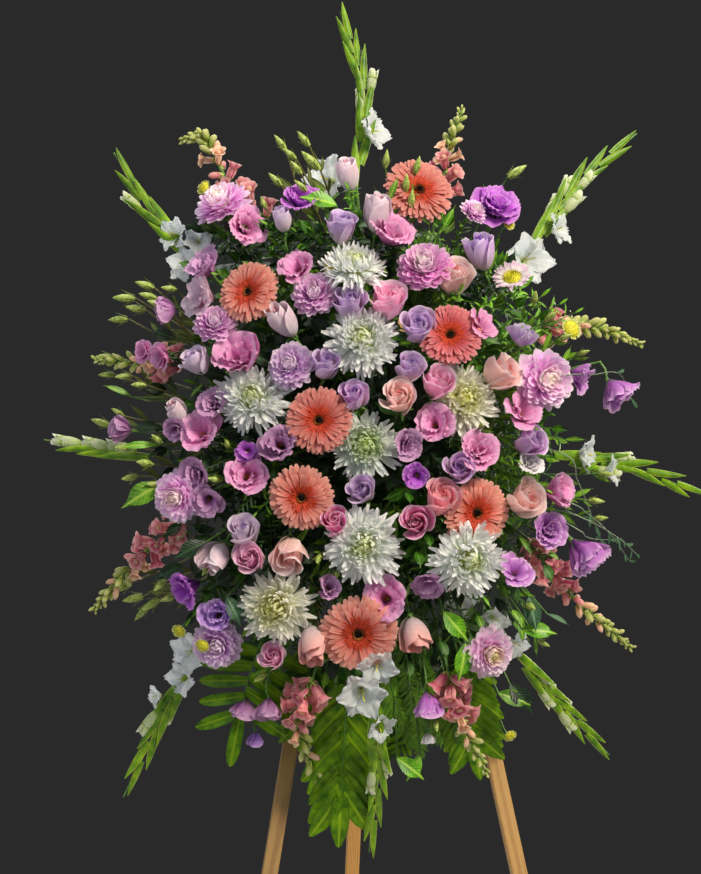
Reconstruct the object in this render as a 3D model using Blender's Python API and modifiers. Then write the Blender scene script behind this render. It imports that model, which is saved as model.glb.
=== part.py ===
"""Standing funeral spray on a folding wooden easel.

The easel is three battens: two front legs joined by a wedge block and two rails, and a rear leg
hinged to the block. A plastic holder hooks over the upper rail and grips a block of wet floral
foam, and every stem of the spray is pushed into that foam. The principal stems are here, each one
solid of flower and stem: gerberas, white chrysanthemums, gladioli, snapdragons and palm fronds.

Metres, +Z up, the spray facing -Y. Places in the spray are given in centimetres across (x) and
above the floor (z), as a florist would plan it from the front.
"""

import math

import bmesh
import bpy
from mathutils import Matrix, Vector

CM = 0.01
GAP = 0.0003  # clearance that touching solids keep

# Easel
APEX_Z = 1.39  # where the front legs' plane meets the line of the rear leg
FRONT_REACH = 0.30  # front feet ahead of the apex
REAR_REACH = 0.50  # rear foot behind the apex
FOOT_HALF_SPREAD = 0.29
LEG_TOP_HALF = 0.030  # half the distance between the front legs' centre lines at the apex
LEG_WIDTH = 0.027
LEG_DEPTH = 0.020
LEG_ROUNDING = 0.0015
BATTEN_EDGE = 0.001  # rounding of the rails', head block's and rear leg's edges
HEAD_TOP = 0.030  # head block and leg tops above the apex, along the frame
HEAD_DROP = 0.075
RAIL_HEIGHT = 0.022
RAIL_DEPTH = 0.008
RAIL_OVERHANG = 0.018
UPPER_RAIL_Z = 1.285
LOWER_RAIL_Z = 0.985

# Hinge of the rear leg
HINGE_DROP = 0.020  # hinge axis below the apex, along the frame
HINGE_STANDOFF = 0.004  # hinge axis behind the head block's back face
HINGE_WIDTH = 0.024
KNUCKLE_RADIUS = 0.003
PIN_RADIUS = 0.0013
LEAF_THICKNESS = 0.0015
LEAF_LENGTH = 0.046
LEAF_SCREWS = (0.034, 0.040)  # along a leaf from the hinge axis, clear of the rear leg's end
LEAF_SCREW_LENGTH, LEAF_SCREW_HEAD = 0.012, 0.0024
RAIL_SCREW_HEAD = 0.0036
REAR_LEG_TOP = 0.024  # rear leg above the hinge axis, mitred so that it stops on the head block

# Holder and foam
HOLDER_Z = 1.14
FOAM_WIDTH, FOAM_HEIGHT, FOAM_DEPTH = 0.240, 0.340, 0.090
TRAY_WALL = 0.0025
TRAY_DEPTH = 0.030
HOOK_WIDTH = 0.016
HOOK_SPACING = 0.021  # half the distance between the two hooks
HOOK_THICKNESS, HOOK_DROP = 0.0035, 0.012
SPIKE_LENGTH, SPIKE_RADIUS = 0.028, 0.004
STEM_CLEARANCE = 0.0006

# The flowers' front surface: a flattened dome on the holder's plane
DOME_X, DOME_Z = -3.0, 114.0  # centre, cm
DOME_HALF_WIDTH, DOME_HALF_HEIGHT = 46.0, 62.0  # cm
DOME_BASE_Y, DOME_BULGE = -0.17, 0.24
STEM_SPREAD = 0.24  # stem ends in the foam repeat the plan of the flower heads at this scale
FACING_OUT = 0.32  # how far a head turns from the viewer towards its own stem

STEM_RADIUS = 0.0032
HEAD_STEPS = 16

# Plan of the gerberas: x, z and radius in cm, then how far the head stands proud of the dome
GERBERAS = (
    (1.5, 155.5, 5.2, -1.0),
    (-26.0, 138.0, 4.9, 0.0),
    (-15.0, 117.0, 5.0, 0.5),
    (-17.7, 104.5, 4.9, 0.0),
    (6.7, 131.5, 4.8, 0.0),
    (11.3, 101.8, 5.1, -2.5),
    (-8.2, 82.2, 5.8, 0.5),
)
# Plan of the white chrysanthemums, in the same terms
CHRYSANTHEMUMS = (
    (-9.0, 142.5, 4.4, 0.0),
    (-7.8, 130.0, 4.7, 0.0),
    (-25.0, 120.5, 4.6, -0.5),
    (-7.5, 113.0, 4.6, -3.0),
    (9.0, 120.3, 4.6, -2.5),
    (-7.8, 96.5, 4.8, 0.5),
    (9.5, 94.5, 4.8, 1.5),
    (-21.8, 86.5, 4.7, 0.0),
)
# Flower spikes: name, plan of the line through (x, z, y) in cm from where the florets start to the
# tip, and the radius of the floret zone
GLADIOLI = (
    ("top", ((-7.0, 157.0, -24), (-4.6, 172.0, -21), (-5.6, 180.0, -19), (-8.2, 189.3, -17)), 2.4),
    ("upper_left", ((-34.5, 147.0, -25), (-41.0, 155.0, -22), (-48.0, 163.5, -19)), 2.4),
    ("upper_right", ((24.0, 146.0, -26), (33.0, 156.5, -22), (43.8, 168.0, -19)), 2.4),
    ("right", ((27.0, 111.8, -30), (40.0, 110.5, -24), (55.4, 105.2, -20)), 2.2),
    ("left", ((-42.0, 111.2, -24), (-50.0, 112.4, -21), (-60.0, 113.8, -18)), 2.0),
    ("lower_right", ((21.0, 75.5, -25), (29.0, 66.5, -21), (38.7, 57.7, -18)), 2.2),
    ("lower_left", ((-37.0, 74.5, -23), (-41.5, 66.0, -20), (-46.9, 52.6, -17)), 2.2),
    ("bottom", ((-5.5, 71.0, -37), (-4.2, 58.0, -31), (-5.0, 43.6, -26)), 2.4),
)
SNAPDRAGONS = (
    ("upper_left", ((-22.5, 151.5, -24), (-28, 156.8, -23), (-31.8, 163.0, -22), (-36, 165.6, -20)), 1.8),
    ("upper_right", ((8.0, 156.0, -23), (9.4, 163.5, -22), (11.9, 171.0, -21)), 1.8),
    ("right", ((24.0, 132.6, -26), (34.0, 133.6, -23), (44.4, 130.6, -20)), 1.8),
    ("left", ((-36.5, 126.2, -25), (-43.0, 127.0, -22), (-51.3, 127.4, -19)), 1.8),
    ("lower_left", ((-38.0, 98.5, -24), (-44.0, 93.0, -21), (-51.4, 84.8, -18)), 1.8),
    ("lower_right", ((22.5, 95.8, -29), (31.5, 87.5, -24), (42.8, 77.6, -19)), 1.8),
    ("bottom_left", ((-15.2, 74.0, -32), (-17.5, 66.0, -29), (-11.5, 52.0, -25)), 1.8),
    ("bottom_right", ((7.5, 75.0, -33), (9.8, 67.0, -31.5), (14.4, 57.6, -30)), 1.6),
)
# Palm fronds: name, start and tip of the blade as (x, z, y) in cm, half width of the blade in cm
PALM_FRONDS = (
    ("centre", (-10.0, 69.0, -27), (-10.6, 43.8, -24), 7.0),
    ("left", (-24.5, 77.0, -27), (-28.5, 59.5, -26.5), 7.0),
    ("right", (12.4, 74.0, -27), (14.2, 56.0, -25.5), 5.0),
)
FROND_THICKNESS = 0.0026
FROND_LEAFLETS = 6
PETIOLE_HALF = 0.0028


def clear_scene():
    for obj in list(bpy.data.objects):
        bpy.data.objects.remove(obj, do_unlink=True)


def new_collection(name):
    collection = bpy.data.collections.new(name)
    bpy.context.scene.collection.children.link(collection)
    return collection


def material(name, colour, roughness, metallic=0.0):
    made = bpy.data.materials.new(name)
    made.use_nodes = True
    shader = made.node_tree.nodes["Principled BSDF"]
    shader.inputs["Base Color"].default_value = (*colour, 1.0)
    shader.inputs["Roughness"].default_value = roughness
    shader.inputs["Metallic"].default_value = metallic
    return made


def add_object(name, data, collection, matrix=None, finish=None):
    obj = bpy.data.objects.new(name, data)
    collection.objects.link(obj)
    if matrix is not None:
        obj.matrix_world = matrix
    if finish is not None:
        data.materials.append(finish)
    return obj


def box_mesh(name, low, high):
    """A mesh box between two corners."""
    low, high = Vector(low), Vector(high)
    bm = bmesh.new()
    size = high - low
    place = Matrix.Translation((low + high) / 2) @ Matrix.Diagonal((*size, 1.0))
    bmesh.ops.create_cube(bm, size=1.0, matrix=place)
    mesh = bpy.data.meshes.new(name)
    bm.to_mesh(mesh)
    bm.free()
    return mesh


def saw(mesh, point, normal):
    """Cuts a mesh by a plane in its own coordinates, dropping the side the normal points to."""
    bm = bmesh.new()
    bm.from_mesh(mesh)
    geometry = bm.verts[:] + bm.edges[:] + bm.faces[:]
    bmesh.ops.bisect_plane(bm, geom=geometry, plane_co=point, plane_no=normal, clear_outer=True)
    bmesh.ops.holes_fill(bm, edges=[edge for edge in bm.edges if edge.is_boundary])
    bmesh.ops.recalc_face_normals(bm, faces=bm.faces[:])
    bm.to_mesh(mesh)
    bm.free()


def bevel(obj, width, segments=1):
    modifier = obj.modifiers.new("rounded_edges", "BEVEL")
    modifier.width = width
    modifier.segments = segments
    modifier.limit_method = "ANGLE"


def turned(name, profile, steps, collection, matrix=None, finish=None):
    """A solid of revolution about its own Z, from (radius, z) points that run from top to bottom."""
    mesh = bpy.data.meshes.new(name)
    points = [(radius, 0.0, z) for radius, z in profile]
    mesh.from_pydata(points, [(i, i + 1) for i in range(len(points) - 1)], [])
    obj = add_object(name, mesh, collection, matrix, finish)
    modifier = obj.modifiers.new("turn", "SCREW")
    modifier.steps = modifier.render_steps = steps
    modifier.use_merge_vertices = True
    modifier.merge_threshold = 0.00002
    modifier.use_smooth_shade = True
    return obj


def tube(name, points, radii, collection, sides=8, finish=None):
    """A round bar through the points, with its own radius at each of them, as a closed mesh."""
    curve = bpy.data.curves.new(name, "CURVE")
    curve.dimensions = "3D"
    curve.bevel_depth = 1.0
    curve.bevel_resolution = (sides - 4) // 2
    curve.use_fill_caps = True
    spline = curve.splines.new("POLY")
    spline.points.add(len(points) - 1)
    for place, point, radius in zip(spline.points, points, radii):
        place.co = (*point, 1.0)
        place.radius = radius
    guide = add_object(name + "_line", curve, collection)
    return curve_to_mesh(name, guide, collection, finish)


def curve_to_mesh(name, guide, collection, finish=None):
    """Replaces a curve object by the closed mesh that it draws."""
    bpy.context.view_layer.update()
    graph = bpy.context.evaluated_depsgraph_get()
    mesh = bpy.data.meshes.new_from_object(guide.evaluated_get(graph))
    bm = bmesh.new()
    bm.from_mesh(mesh)
    bmesh.ops.remove_doubles(bm, verts=bm.verts[:], dist=1e-6)
    bmesh.ops.recalc_face_normals(bm, faces=bm.faces[:])
    bm.to_mesh(mesh)
    bm.free()
    matrix = guide.matrix_world.copy()
    curve = guide.data
    bpy.data.objects.remove(guide)
    bpy.data.curves.remove(curve)
    return add_object(name, mesh, collection, matrix, finish)


def as_tool(obj):
    """Marks an object as a cutter or a helper, so that it is no part of the model."""
    obj.hide_render = True
    obj.display_type = "WIRE"
    return obj


def join_with(obj, tool):
    modifier = obj.modifiers.new("join_" + tool.name, "BOOLEAN")
    modifier.operation = "UNION"
    modifier.object = as_tool(tool)


def cut_with(obj, tool):
    modifier = obj.modifiers.new("cut_" + tool.name, "BOOLEAN")
    modifier.operation = "DIFFERENCE"
    modifier.object = as_tool(tool)


def aim(origin, direction, up=(0.0, 0.0, 1.0)):
    """A matrix at the origin whose Z runs along the direction and whose Y leans to up."""
    z_axis = Vector(direction).normalized()
    x_axis = Vector(up).cross(z_axis)
    if x_axis.length < 1e-6:
        x_axis = Vector((1.0, 0.0, 0.0))
    x_axis.normalize()
    y_axis = z_axis.cross(x_axis)
    matrix = Matrix((x_axis, y_axis, z_axis)).transposed().to_4x4()
    matrix.translation = Vector(origin)
    return matrix


def smooth_line(points, count):
    """count points on a Catmull-Rom curve through the given points."""
    points = [Vector(point) for point in points]
    ends = [2 * points[0] - points[1], *points, 2 * points[-1] - points[-2]]
    line = []
    for step in range(count):
        place = step / (count - 1) * (len(points) - 1)
        index = min(int(place), len(points) - 2)
        t = place - index
        a, b, c, d = ends[index : index + 4]
        line.append(
            0.5 * (2 * b + (c - a) * t + (2 * a - 5 * b + 4 * c - d) * t**2 + (3 * b - 3 * c + d - a) * t**3)
        )
    return line


# Places ------------------------------------------------------------------------------------------

LEAN = math.atan2(FRONT_REACH, APEX_Z)
# The front frame's own plane: X across, Y backwards, Z up along the legs, origin at the apex
FRAME = Matrix.Translation((0, 0, APEX_Z)) @ Matrix.Rotation(-LEAN, 4, "X")
FRAME_LENGTH = math.hypot(FRONT_REACH, APEX_Z)
FRONT_FACE = -LEG_DEPTH / 2  # front and back faces of the legs and head block, in the frame's Y
BACK_FACE = LEG_DEPTH / 2
RAIL_BACK = FRONT_FACE - GAP
TRAY_BACK = RAIL_BACK - RAIL_DEPTH - GAP
FOAM_BACK = TRAY_BACK - TRAY_WALL - GAP
FOAM_MIDDLE = FOAM_BACK - FOAM_DEPTH / 2


def along_frame(height):
    """The frame's own Z at this height above the floor."""
    return (height - APEX_Z) / math.cos(LEAN)


def leg_half_spread(frame_z):
    """Distance of a front leg's centre line from the middle, at this place along the frame."""
    return LEG_TOP_HALF - (FOOT_HALF_SPREAD - LEG_TOP_HALF) * frame_z / FRAME_LENGTH


def dome_y(x, z):
    """The flowers' front surface at a place of the plan."""
    rise = 1 - ((x - DOME_X) / DOME_HALF_WIDTH) ** 2 - ((z - DOME_Z) / DOME_HALF_HEIGHT) ** 2
    return DOME_BASE_Y - DOME_BULGE * math.sqrt(max(rise, 0.0))


def stem_end(x, z):
    """Where a stem for this place of the plan ends, half way into the foam."""
    across = min(max(x * CM * STEM_SPREAD, -0.40 * FOAM_WIDTH), 0.40 * FOAM_WIDTH)
    height = min(max((z * CM - HOLDER_Z) * STEM_SPREAD, -0.42 * FOAM_HEIGHT), 0.42 * FOAM_HEIGHT)
    return FRAME @ Vector((across, FOAM_MIDDLE, along_frame(HOLDER_Z) + height))


# Easel -------------------------------------------------------------------------------------------


def front_leg(side, collection, finish):
    """side is -1 for the left leg and 1 for the right one."""
    name = "front_leg_left" if side < 0 else "front_leg_right"
    length = FRAME_LENGTH + 0.1
    mesh = box_mesh(name, (-LEG_WIDTH / 2, FRONT_FACE, -length), (LEG_WIDTH / 2, BACK_FACE, 0.1))
    splay = math.atan2(FOOT_HALF_SPREAD - LEG_TOP_HALF, FRAME_LENGTH)
    place = Matrix.Translation((side * LEG_TOP_HALF, 0, 0)) @ Matrix.Rotation(-side * splay, 4, "Y")
    mesh.transform(place)
    saw(mesh, (0, 0, HEAD_TOP), (0, 0, 1))
    mesh.transform(FRAME)
    saw(mesh, (0, 0, 0), (0, 0, -1))
    obj = add_object(name, mesh, collection, finish=finish)
    bevel(obj, LEG_ROUNDING)
    return obj


def head_block(collection, finish):
    """The wedge between the leg tops, its sides parallel to the legs."""
    mesh = box_mesh("head_block", (-0.06, FRONT_FACE, -HEAD_DROP), (0.06, BACK_FACE, HEAD_TOP))
    splay = math.atan2(FOOT_HALF_SPREAD - LEG_TOP_HALF, FRAME_LENGTH)
    for side in (-1, 1):
        outward = Vector((side * math.cos(splay), 0, math.sin(splay)))
        inner_face = Vector((side * LEG_TOP_HALF, 0, 0)) - outward * (LEG_WIDTH / 2 + GAP)
        saw(mesh, inner_face, outward)
    mesh.transform(FRAME)
    obj = add_object("head_block", mesh, collection, finish=finish)
    bevel(obj, BATTEN_EDGE)
    return obj


def rail(name, height, collection, finish):
    frame_z = along_frame(height)
    half = leg_half_spread(frame_z) + LEG_WIDTH / 2 + RAIL_OVERHANG
    low = (-half, RAIL_BACK - RAIL_DEPTH, frame_z - RAIL_HEIGHT / 2)
    high = (half, RAIL_BACK, frame_z + RAIL_HEIGHT / 2)
    mesh = box_mesh(name, low, high)
    mesh.transform(FRAME)
    obj = add_object(name, mesh, collection, finish=finish)
    bevel(obj, BATTEN_EDGE)
    return obj


def screw(name, head_centre, inward, length, drilled, collection, finish, head_radius=RAIL_SCREW_HEAD):
    """A round-head screw whose head sits on a face at head_centre, driven inwards.

    The pieces in drilled get a hole for its shank.
    """
    shank = head_radius * 0.48
    head_height = head_radius * 0.55
    profile = [
        (0.0, head_height),
        (head_radius * 0.6, head_height * 0.85),
        (head_radius, 0.0),
        (shank, 0.0),
        (shank, -length * 0.8),
        (0.0, -length),
    ]
    outward = -Vector(inward).normalized()
    matrix = aim(Vector(head_centre) + outward * GAP, outward, up=(0, 1, 0.1))
    obj = turned(name, profile, 10, collection, matrix, finish)
    bore = [(0.0, 0.004), (shank + GAP, 0.004), (shank + GAP, -length - GAP), (0.0, -length - GAP)]
    cutter = turned(name + "_hole", bore, 10, bpy.data.collections["cutters"], matrix)
    for piece in drilled:
        cut_with(piece, cutter)
    return obj


def rail_screws(rails, legs, collection, finish):
    """The rails are screwed on from behind, through the legs."""
    for rail_name, height in (("upper", UPPER_RAIL_Z), ("lower", LOWER_RAIL_Z)):
        frame_z = along_frame(height)
        for side, leg in ((-1, legs[0]), (1, legs[1])):
            word = "left" if side < 0 else "right"
            head = FRAME @ Vector((side * leg_half_spread(frame_z), BACK_FACE, frame_z))
            inward = FRAME.to_3x3() @ Vector((0, -1, 0))
            name = f"rail_screw_{rail_name}_{word}"
            drilled = (leg, rails[rail_name])
            screw(name, head, inward, LEG_DEPTH + 0.006, drilled, collection, finish)


def head_screws(block, legs, collection, finish):
    splay = math.atan2(FOOT_HALF_SPREAD - LEG_TOP_HALF, FRAME_LENGTH)
    for word, frame_z in (("upper", -0.006), ("lower", -0.048)):
        for side, leg in ((-1, legs[0]), (1, legs[1])):
            outward = Vector((side * math.cos(splay), 0, math.sin(splay)))
            centre = Vector((side * leg_half_spread(frame_z), 0, frame_z))
            head = FRAME @ (centre + outward * LEG_WIDTH / 2)
            inward = FRAME.to_3x3() @ -outward
            length = LEG_WIDTH + 0.009
            hand = "left" if side < 0 else "right"
            screw(f"head_screw_{word}_{hand}", head, inward, length, (leg, block), collection, finish)


HINGE_FRAME = FRAME @ Matrix.Translation((0, BACK_FACE + HINGE_STANDOFF, -HINGE_DROP))
HINGE_POINT = HINGE_FRAME.translation
REAR_FOOT = Vector((0, REAR_REACH, 0))
REAR_TILT = math.atan2(REAR_FOOT.y - HINGE_POINT.y, HINGE_POINT.z)
# The rear leg's own frame on the hinge axis: Z up along the leg, Y backwards
REAR_FRAME = Matrix.Translation(HINGE_POINT) @ Matrix.Rotation(REAR_TILT, 4, "X")


def rear_leg(collection, finish):
    face = HINGE_STANDOFF
    length = HINGE_POINT.z / math.cos(REAR_TILT) + 0.05
    low, high = (-LEG_WIDTH / 2, face, -length), (LEG_WIDTH / 2, face + LEG_DEPTH, REAR_LEG_TOP)
    mesh = box_mesh("rear_leg", low, high)
    mesh.transform(REAR_FRAME)
    saw(mesh, (0, 0, 0), (0, 0, -1))
    towards_block = HINGE_FRAME.to_3x3() @ Vector((0, -1, 0))
    mitre = HINGE_FRAME @ Vector((0, LEAF_THICKNESS + 2 * GAP - HINGE_STANDOFF, 0))
    saw(mesh, mitre, towards_block)
    obj = add_object("rear_leg", mesh, collection, finish=finish)
    bevel(obj, BATTEN_EDGE)
    return obj


def rod_on_hinge(name, radius, low, high, matrix, collection):
    """A helper cylinder on the hinge's X axis, from low to high."""
    profile = [(0.0, high), (radius, high), (radius, low), (0.0, low)]
    along_x = matrix @ Matrix.Rotation(math.pi / 2, 4, "Y")
    return turned(name, profile, 14, collection, along_x)


def hinge_leaf(name, matrix, side, knuckles, collection, finish):
    """A leaf plate with its knuckles over the given spans of X, in the frame of matrix.

    side is 1 for the leaf above the axis and in front of it, -1 for the one below and behind.
    """
    half = HINGE_WIDTH / 2
    clear = KNUCKLE_RADIUS + GAP
    faces = sorted((-side * (HINGE_STANDOFF - GAP), -side * (HINGE_STANDOFF - GAP - LEAF_THICKNESS)))
    ends = sorted((side * clear, side * LEAF_LENGTH))
    mesh = box_mesh(name, (-half, faces[0], ends[0]), (half, faces[1], ends[1]))
    mesh.transform(matrix)
    obj = add_object(name, mesh, collection, finish=finish)
    cutters = bpy.data.collections["cutters"]
    inset = 0.0002
    for index, (low, high) in enumerate(knuckles):
        rod = rod_on_hinge(f"{name}_knuckle_{index}", KNUCKLE_RADIUS, low, high, matrix, cutters)
        join_with(obj, rod)
        reach = sorted((0.0, side * (clear + 0.003)))
        tab_low = (low + inset, faces[0] + inset, reach[0])
        tab_high = (high - inset, faces[1] - inset, reach[1])
        tab = box_mesh(f"{name}_tab_{index}", tab_low, tab_high)
        tab.transform(matrix)
        join_with(obj, add_object(tab.name, tab, cutters))
    bore = PIN_RADIUS + GAP
    cut_with(obj, rod_on_hinge(f"{name}_bore", bore, -half - 0.002, half + 0.002, matrix, cutters))
    return obj


def hinge(block, leg, collection, finish):
    """A butt hinge: the fixed leaf on the block has the outer knuckles, the leg's leaf the middle."""
    half, third = HINGE_WIDTH / 2, HINGE_WIDTH / 6
    outer = ((-half + GAP, -third - GAP), (third + GAP, half - GAP))
    middle = ((-third + GAP, third - GAP),)
    fixed = hinge_leaf("hinge_leaf_fixed", HINGE_FRAME, 1, outer, collection, finish)
    moving = hinge_leaf("hinge_leaf_moving", REAR_FRAME, -1, middle, collection, finish)
    pin = rod_on_hinge("hinge_pin", PIN_RADIUS, -half - 0.001, half + 0.001, HINGE_FRAME, collection)
    pin.data.materials.append(finish)
    leaf_face = HINGE_STANDOFF - GAP - LEAF_THICKNESS
    plates = (("leg", REAR_FRAME, 1, (moving, leg)), ("block", HINGE_FRAME, -1, (fixed, block)))
    for word, matrix, inside, drilled in plates:
        inward = matrix.to_3x3() @ Vector((0, inside, 0))
        for index, side in enumerate((-1, 1)):
            name = f"hinge_screw_{word}_{index + 1}"
            spot = Vector((side * HINGE_WIDTH * 0.3, inside * leaf_face, -inside * LEAF_SCREWS[index]))
            head = matrix @ spot
            screw(name, head, inward, LEAF_SCREW_LENGTH, drilled, collection, finish, LEAF_SCREW_HEAD)

    # The screw holes go through the plain plates, ahead of the knuckles' joins
    for leaf in (fixed, moving):
        holes = [index for index, modifier in enumerate(leaf.modifiers) if "screw" in modifier.name]
        for place, index in enumerate(holes):
            leaf.modifiers.move(index, place)


def easel(collection, wood, steel):
    legs = [front_leg(-1, collection, wood), front_leg(1, collection, wood)]
    block = head_block(collection, wood)
    rails = {
        "upper": rail("upper_rail", UPPER_RAIL_Z, collection, wood),
        "lower": rail("lower_rail", LOWER_RAIL_Z, collection, wood),
    }
    rear = rear_leg(collection, wood)
    rail_screws(rails, legs, collection, steel)
    head_screws(block, legs, collection, steel)
    hinge(block, rear, collection, steel)


# Holder ------------------------------------------------------------------------------------------


def tray_hook(index, across, middle, cutters):
    """A flat hook moulded on the tray's back edge, which goes over the upper rail and down."""
    rail_z = along_frame(UPPER_RAIL_Z) - middle
    under = rail_z + RAIL_HEIGHT / 2 + 2 * GAP
    root, back = TRAY_BACK - TRAY_WALL / 2, RAIL_BACK + 2 * GAP
    outline = [
        (root, under),
        (root, under + HOOK_THICKNESS),
        (back + HOOK_THICKNESS, under + HOOK_THICKNESS),
        (back + HOOK_THICKNESS, under - HOOK_DROP),
        (back, under - HOOK_DROP),
        (back, under),
    ]
    curve = bpy.data.curves.new(f"tray_hook_{index}", "CURVE")
    curve.dimensions = "2D"
    curve.fill_mode = "BOTH"
    curve.extrude = HOOK_WIDTH / 2
    spline = curve.splines.new("POLY")
    spline.points.add(len(outline) - 1)
    for place, (y, z) in zip(spline.points, outline):
        place.co = (y, z, 0.0, 1.0)
    spline.use_cyclic_u = True
    upright = Matrix(((0, 0, 1, across), (1, 0, 0, 0), (0, 1, 0, middle), (0, 0, 0, 1)))
    guide = add_object(curve.name + "_outline", curve, cutters, FRAME @ upright)
    return curve_to_mesh(curve.name, guide, cutters)


def foam_tray(collection, plastic, cutters):
    """An open box against the rails, with two hooks over the upper one and four foam spikes."""
    middle = along_frame(HOLDER_Z)
    half_x = FOAM_WIDTH / 2 + GAP + TRAY_WALL
    half_z = FOAM_HEIGHT / 2 + GAP + TRAY_WALL
    low = (-half_x, TRAY_BACK - TRAY_DEPTH, middle - half_z)
    mesh = box_mesh("foam_tray", low, (half_x, TRAY_BACK, middle + half_z))
    bm = bmesh.new()
    bm.from_mesh(mesh)
    bm.faces.ensure_lookup_table()
    bm.faces.remove(min(bm.faces, key=lambda face: face.calc_center_median().y))
    bm.to_mesh(mesh)
    bm.free()
    mesh.transform(FRAME)
    tray = add_object("foam_tray", mesh, collection, finish=plastic)
    walls = tray.modifiers.new("walls", "SOLIDIFY")
    walls.thickness = TRAY_WALL
    walls.offset = -1.0
    walls.use_even_offset = True
    for index, side in enumerate((-1, 1)):
        join_with(tray, tray_hook(index, side * HOOK_SPACING, middle, cutters))
    return tray


def foam_spikes(tray, foam, cutters):
    """Four moulded spikes that hold the foam, and their hollows in it."""
    middle = along_frame(HOLDER_Z)
    for across in (-1, 1):
        for up in (-1, 1):
            aside, height = across * FOAM_WIDTH * 0.43, middle + up * FOAM_HEIGHT * 0.45
            root = Vector((aside, TRAY_BACK - TRAY_WALL * 0.5, height))
            matrix = FRAME @ Matrix.Translation(root) @ Matrix.Rotation(math.pi / 2, 4, "X")
            profile = [(0.0, SPIKE_LENGTH), (0.0008, SPIKE_LENGTH), (SPIKE_RADIUS, 0.0), (0.0, 0.0)]
            name = f"foam_spike_{'left' if across < 0 else 'right'}_{'low' if up < 0 else 'high'}"
            join_with(tray, turned(name, profile, 8, cutters, matrix))
            hollow = [
                (0.0, SPIKE_LENGTH + 2 * GAP),
                (0.0008 + 2 * GAP, SPIKE_LENGTH + 2 * GAP),
                (SPIKE_RADIUS + 2 * GAP, -0.002),
                (0.0, -0.002),
            ]
            cut_with(foam, turned(name + "_hollow", hollow, 8, cutters, matrix))


def foam_block(collection, finish):
    middle = along_frame(HOLDER_Z)
    half_x, half_z = FOAM_WIDTH / 2, FOAM_HEIGHT / 2
    low = (-half_x, FOAM_BACK - FOAM_DEPTH, middle - half_z)
    mesh = box_mesh("foam_block", low, (half_x, FOAM_BACK, middle + half_z))
    mesh.transform(FRAME)
    return add_object("foam_block", mesh, collection, finish=finish)


# Plants ------------------------------------------------------------------------------------------


def stem_hole(foam, name, points, radius, cutters):
    """The hole that a stem makes in the foam."""
    start, second = Vector(points[0]), Vector(points[1])
    direction = (second - start).normalized()
    line = [start - direction * STEM_CLEARANCE, *points[1:]]
    radii = [radius + STEM_CLEARANCE] * len(line)
    cut_with(foam, tube(name + "_hole", line, radii, cutters, sides=6))


def bloom(name, plan, profile, foam, collection, cutters, finish):
    """A round flower on a stem that runs straight out of the foam and turns at the neck."""
    x, z, radius, proud = plan
    head = Vector((x * CM, dome_y(x, z) - proud * CM, z * CM))
    inside = stem_end(x, z)
    outward = (head - inside).normalized()
    facing = (outward * FACING_OUT + Vector((0, -1, 0)) * (1 - FACING_OUT)).normalized()
    scale = radius * CM
    scaled = [(r * scale, h * scale) for r, h in profile]
    flower = turned(name, scaled, HEAD_STEPS, collection, aim(head, facing), finish)
    calyx = head + facing * scaled[-1][1]
    neck = calyx - facing * 0.035
    straight = [inside, inside.lerp(neck, 0.5), inside.lerp(neck, 0.9)]
    line = [*straight, calyx.lerp(neck, 0.45), calyx + facing * 0.004]
    join_with(flower, tube(name + "_stem", line, [STEM_RADIUS] * len(line), cutters))
    stem_hole(foam, name, line[:2], STEM_RADIUS, cutters)
    return flower


GERBERA_PROFILE = (
    (0.0, 0.07),
    (0.24, 0.08),
    (0.62, 0.07),
    (1.0, 0.02),
    (0.98, -0.03),
    (0.30, -0.10),
    (0.16, -0.30),
    (0.0, -0.34),
)
CHRYSANTHEMUM_PROFILE = (
    (0.0, 0.34),
    (0.45, 0.28),
    (0.82, 0.08),
    (1.0, -0.18),
    (0.72, -0.32),
    (0.24, -0.42),
    (0.0, -0.46),
)


def spike(name, plan, radius, shape, foam, collection, cutters, finish):
    """A stem with florets along its upper part, thinning to the tip."""
    places = [Vector((x * CM, y * CM, z * CM)) for x, z, y in plan]
    inside = stem_end(plan[0][0], plan[0][1])
    run = smooth_line(places, 8)
    lead = (run[0] - inside).normalized()
    line = [inside, inside + lead * 0.12, run[0] - lead * 0.012, *run]
    radii = [STEM_RADIUS] * 3 + [share * radius * CM for share in shape]
    stem_hole(foam, name, line[:2], STEM_RADIUS, cutters)
    return tube(name, line, radii, collection, finish=finish)


GLADIOLUS_SHAPE = (0.95, 1.0, 0.72, 0.55, 0.46, 0.38, 0.28, 0.09)
SNAPDRAGON_SHAPE = (0.85, 1.0, 0.95, 0.82, 0.66, 0.50, 0.34, 0.12)


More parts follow.
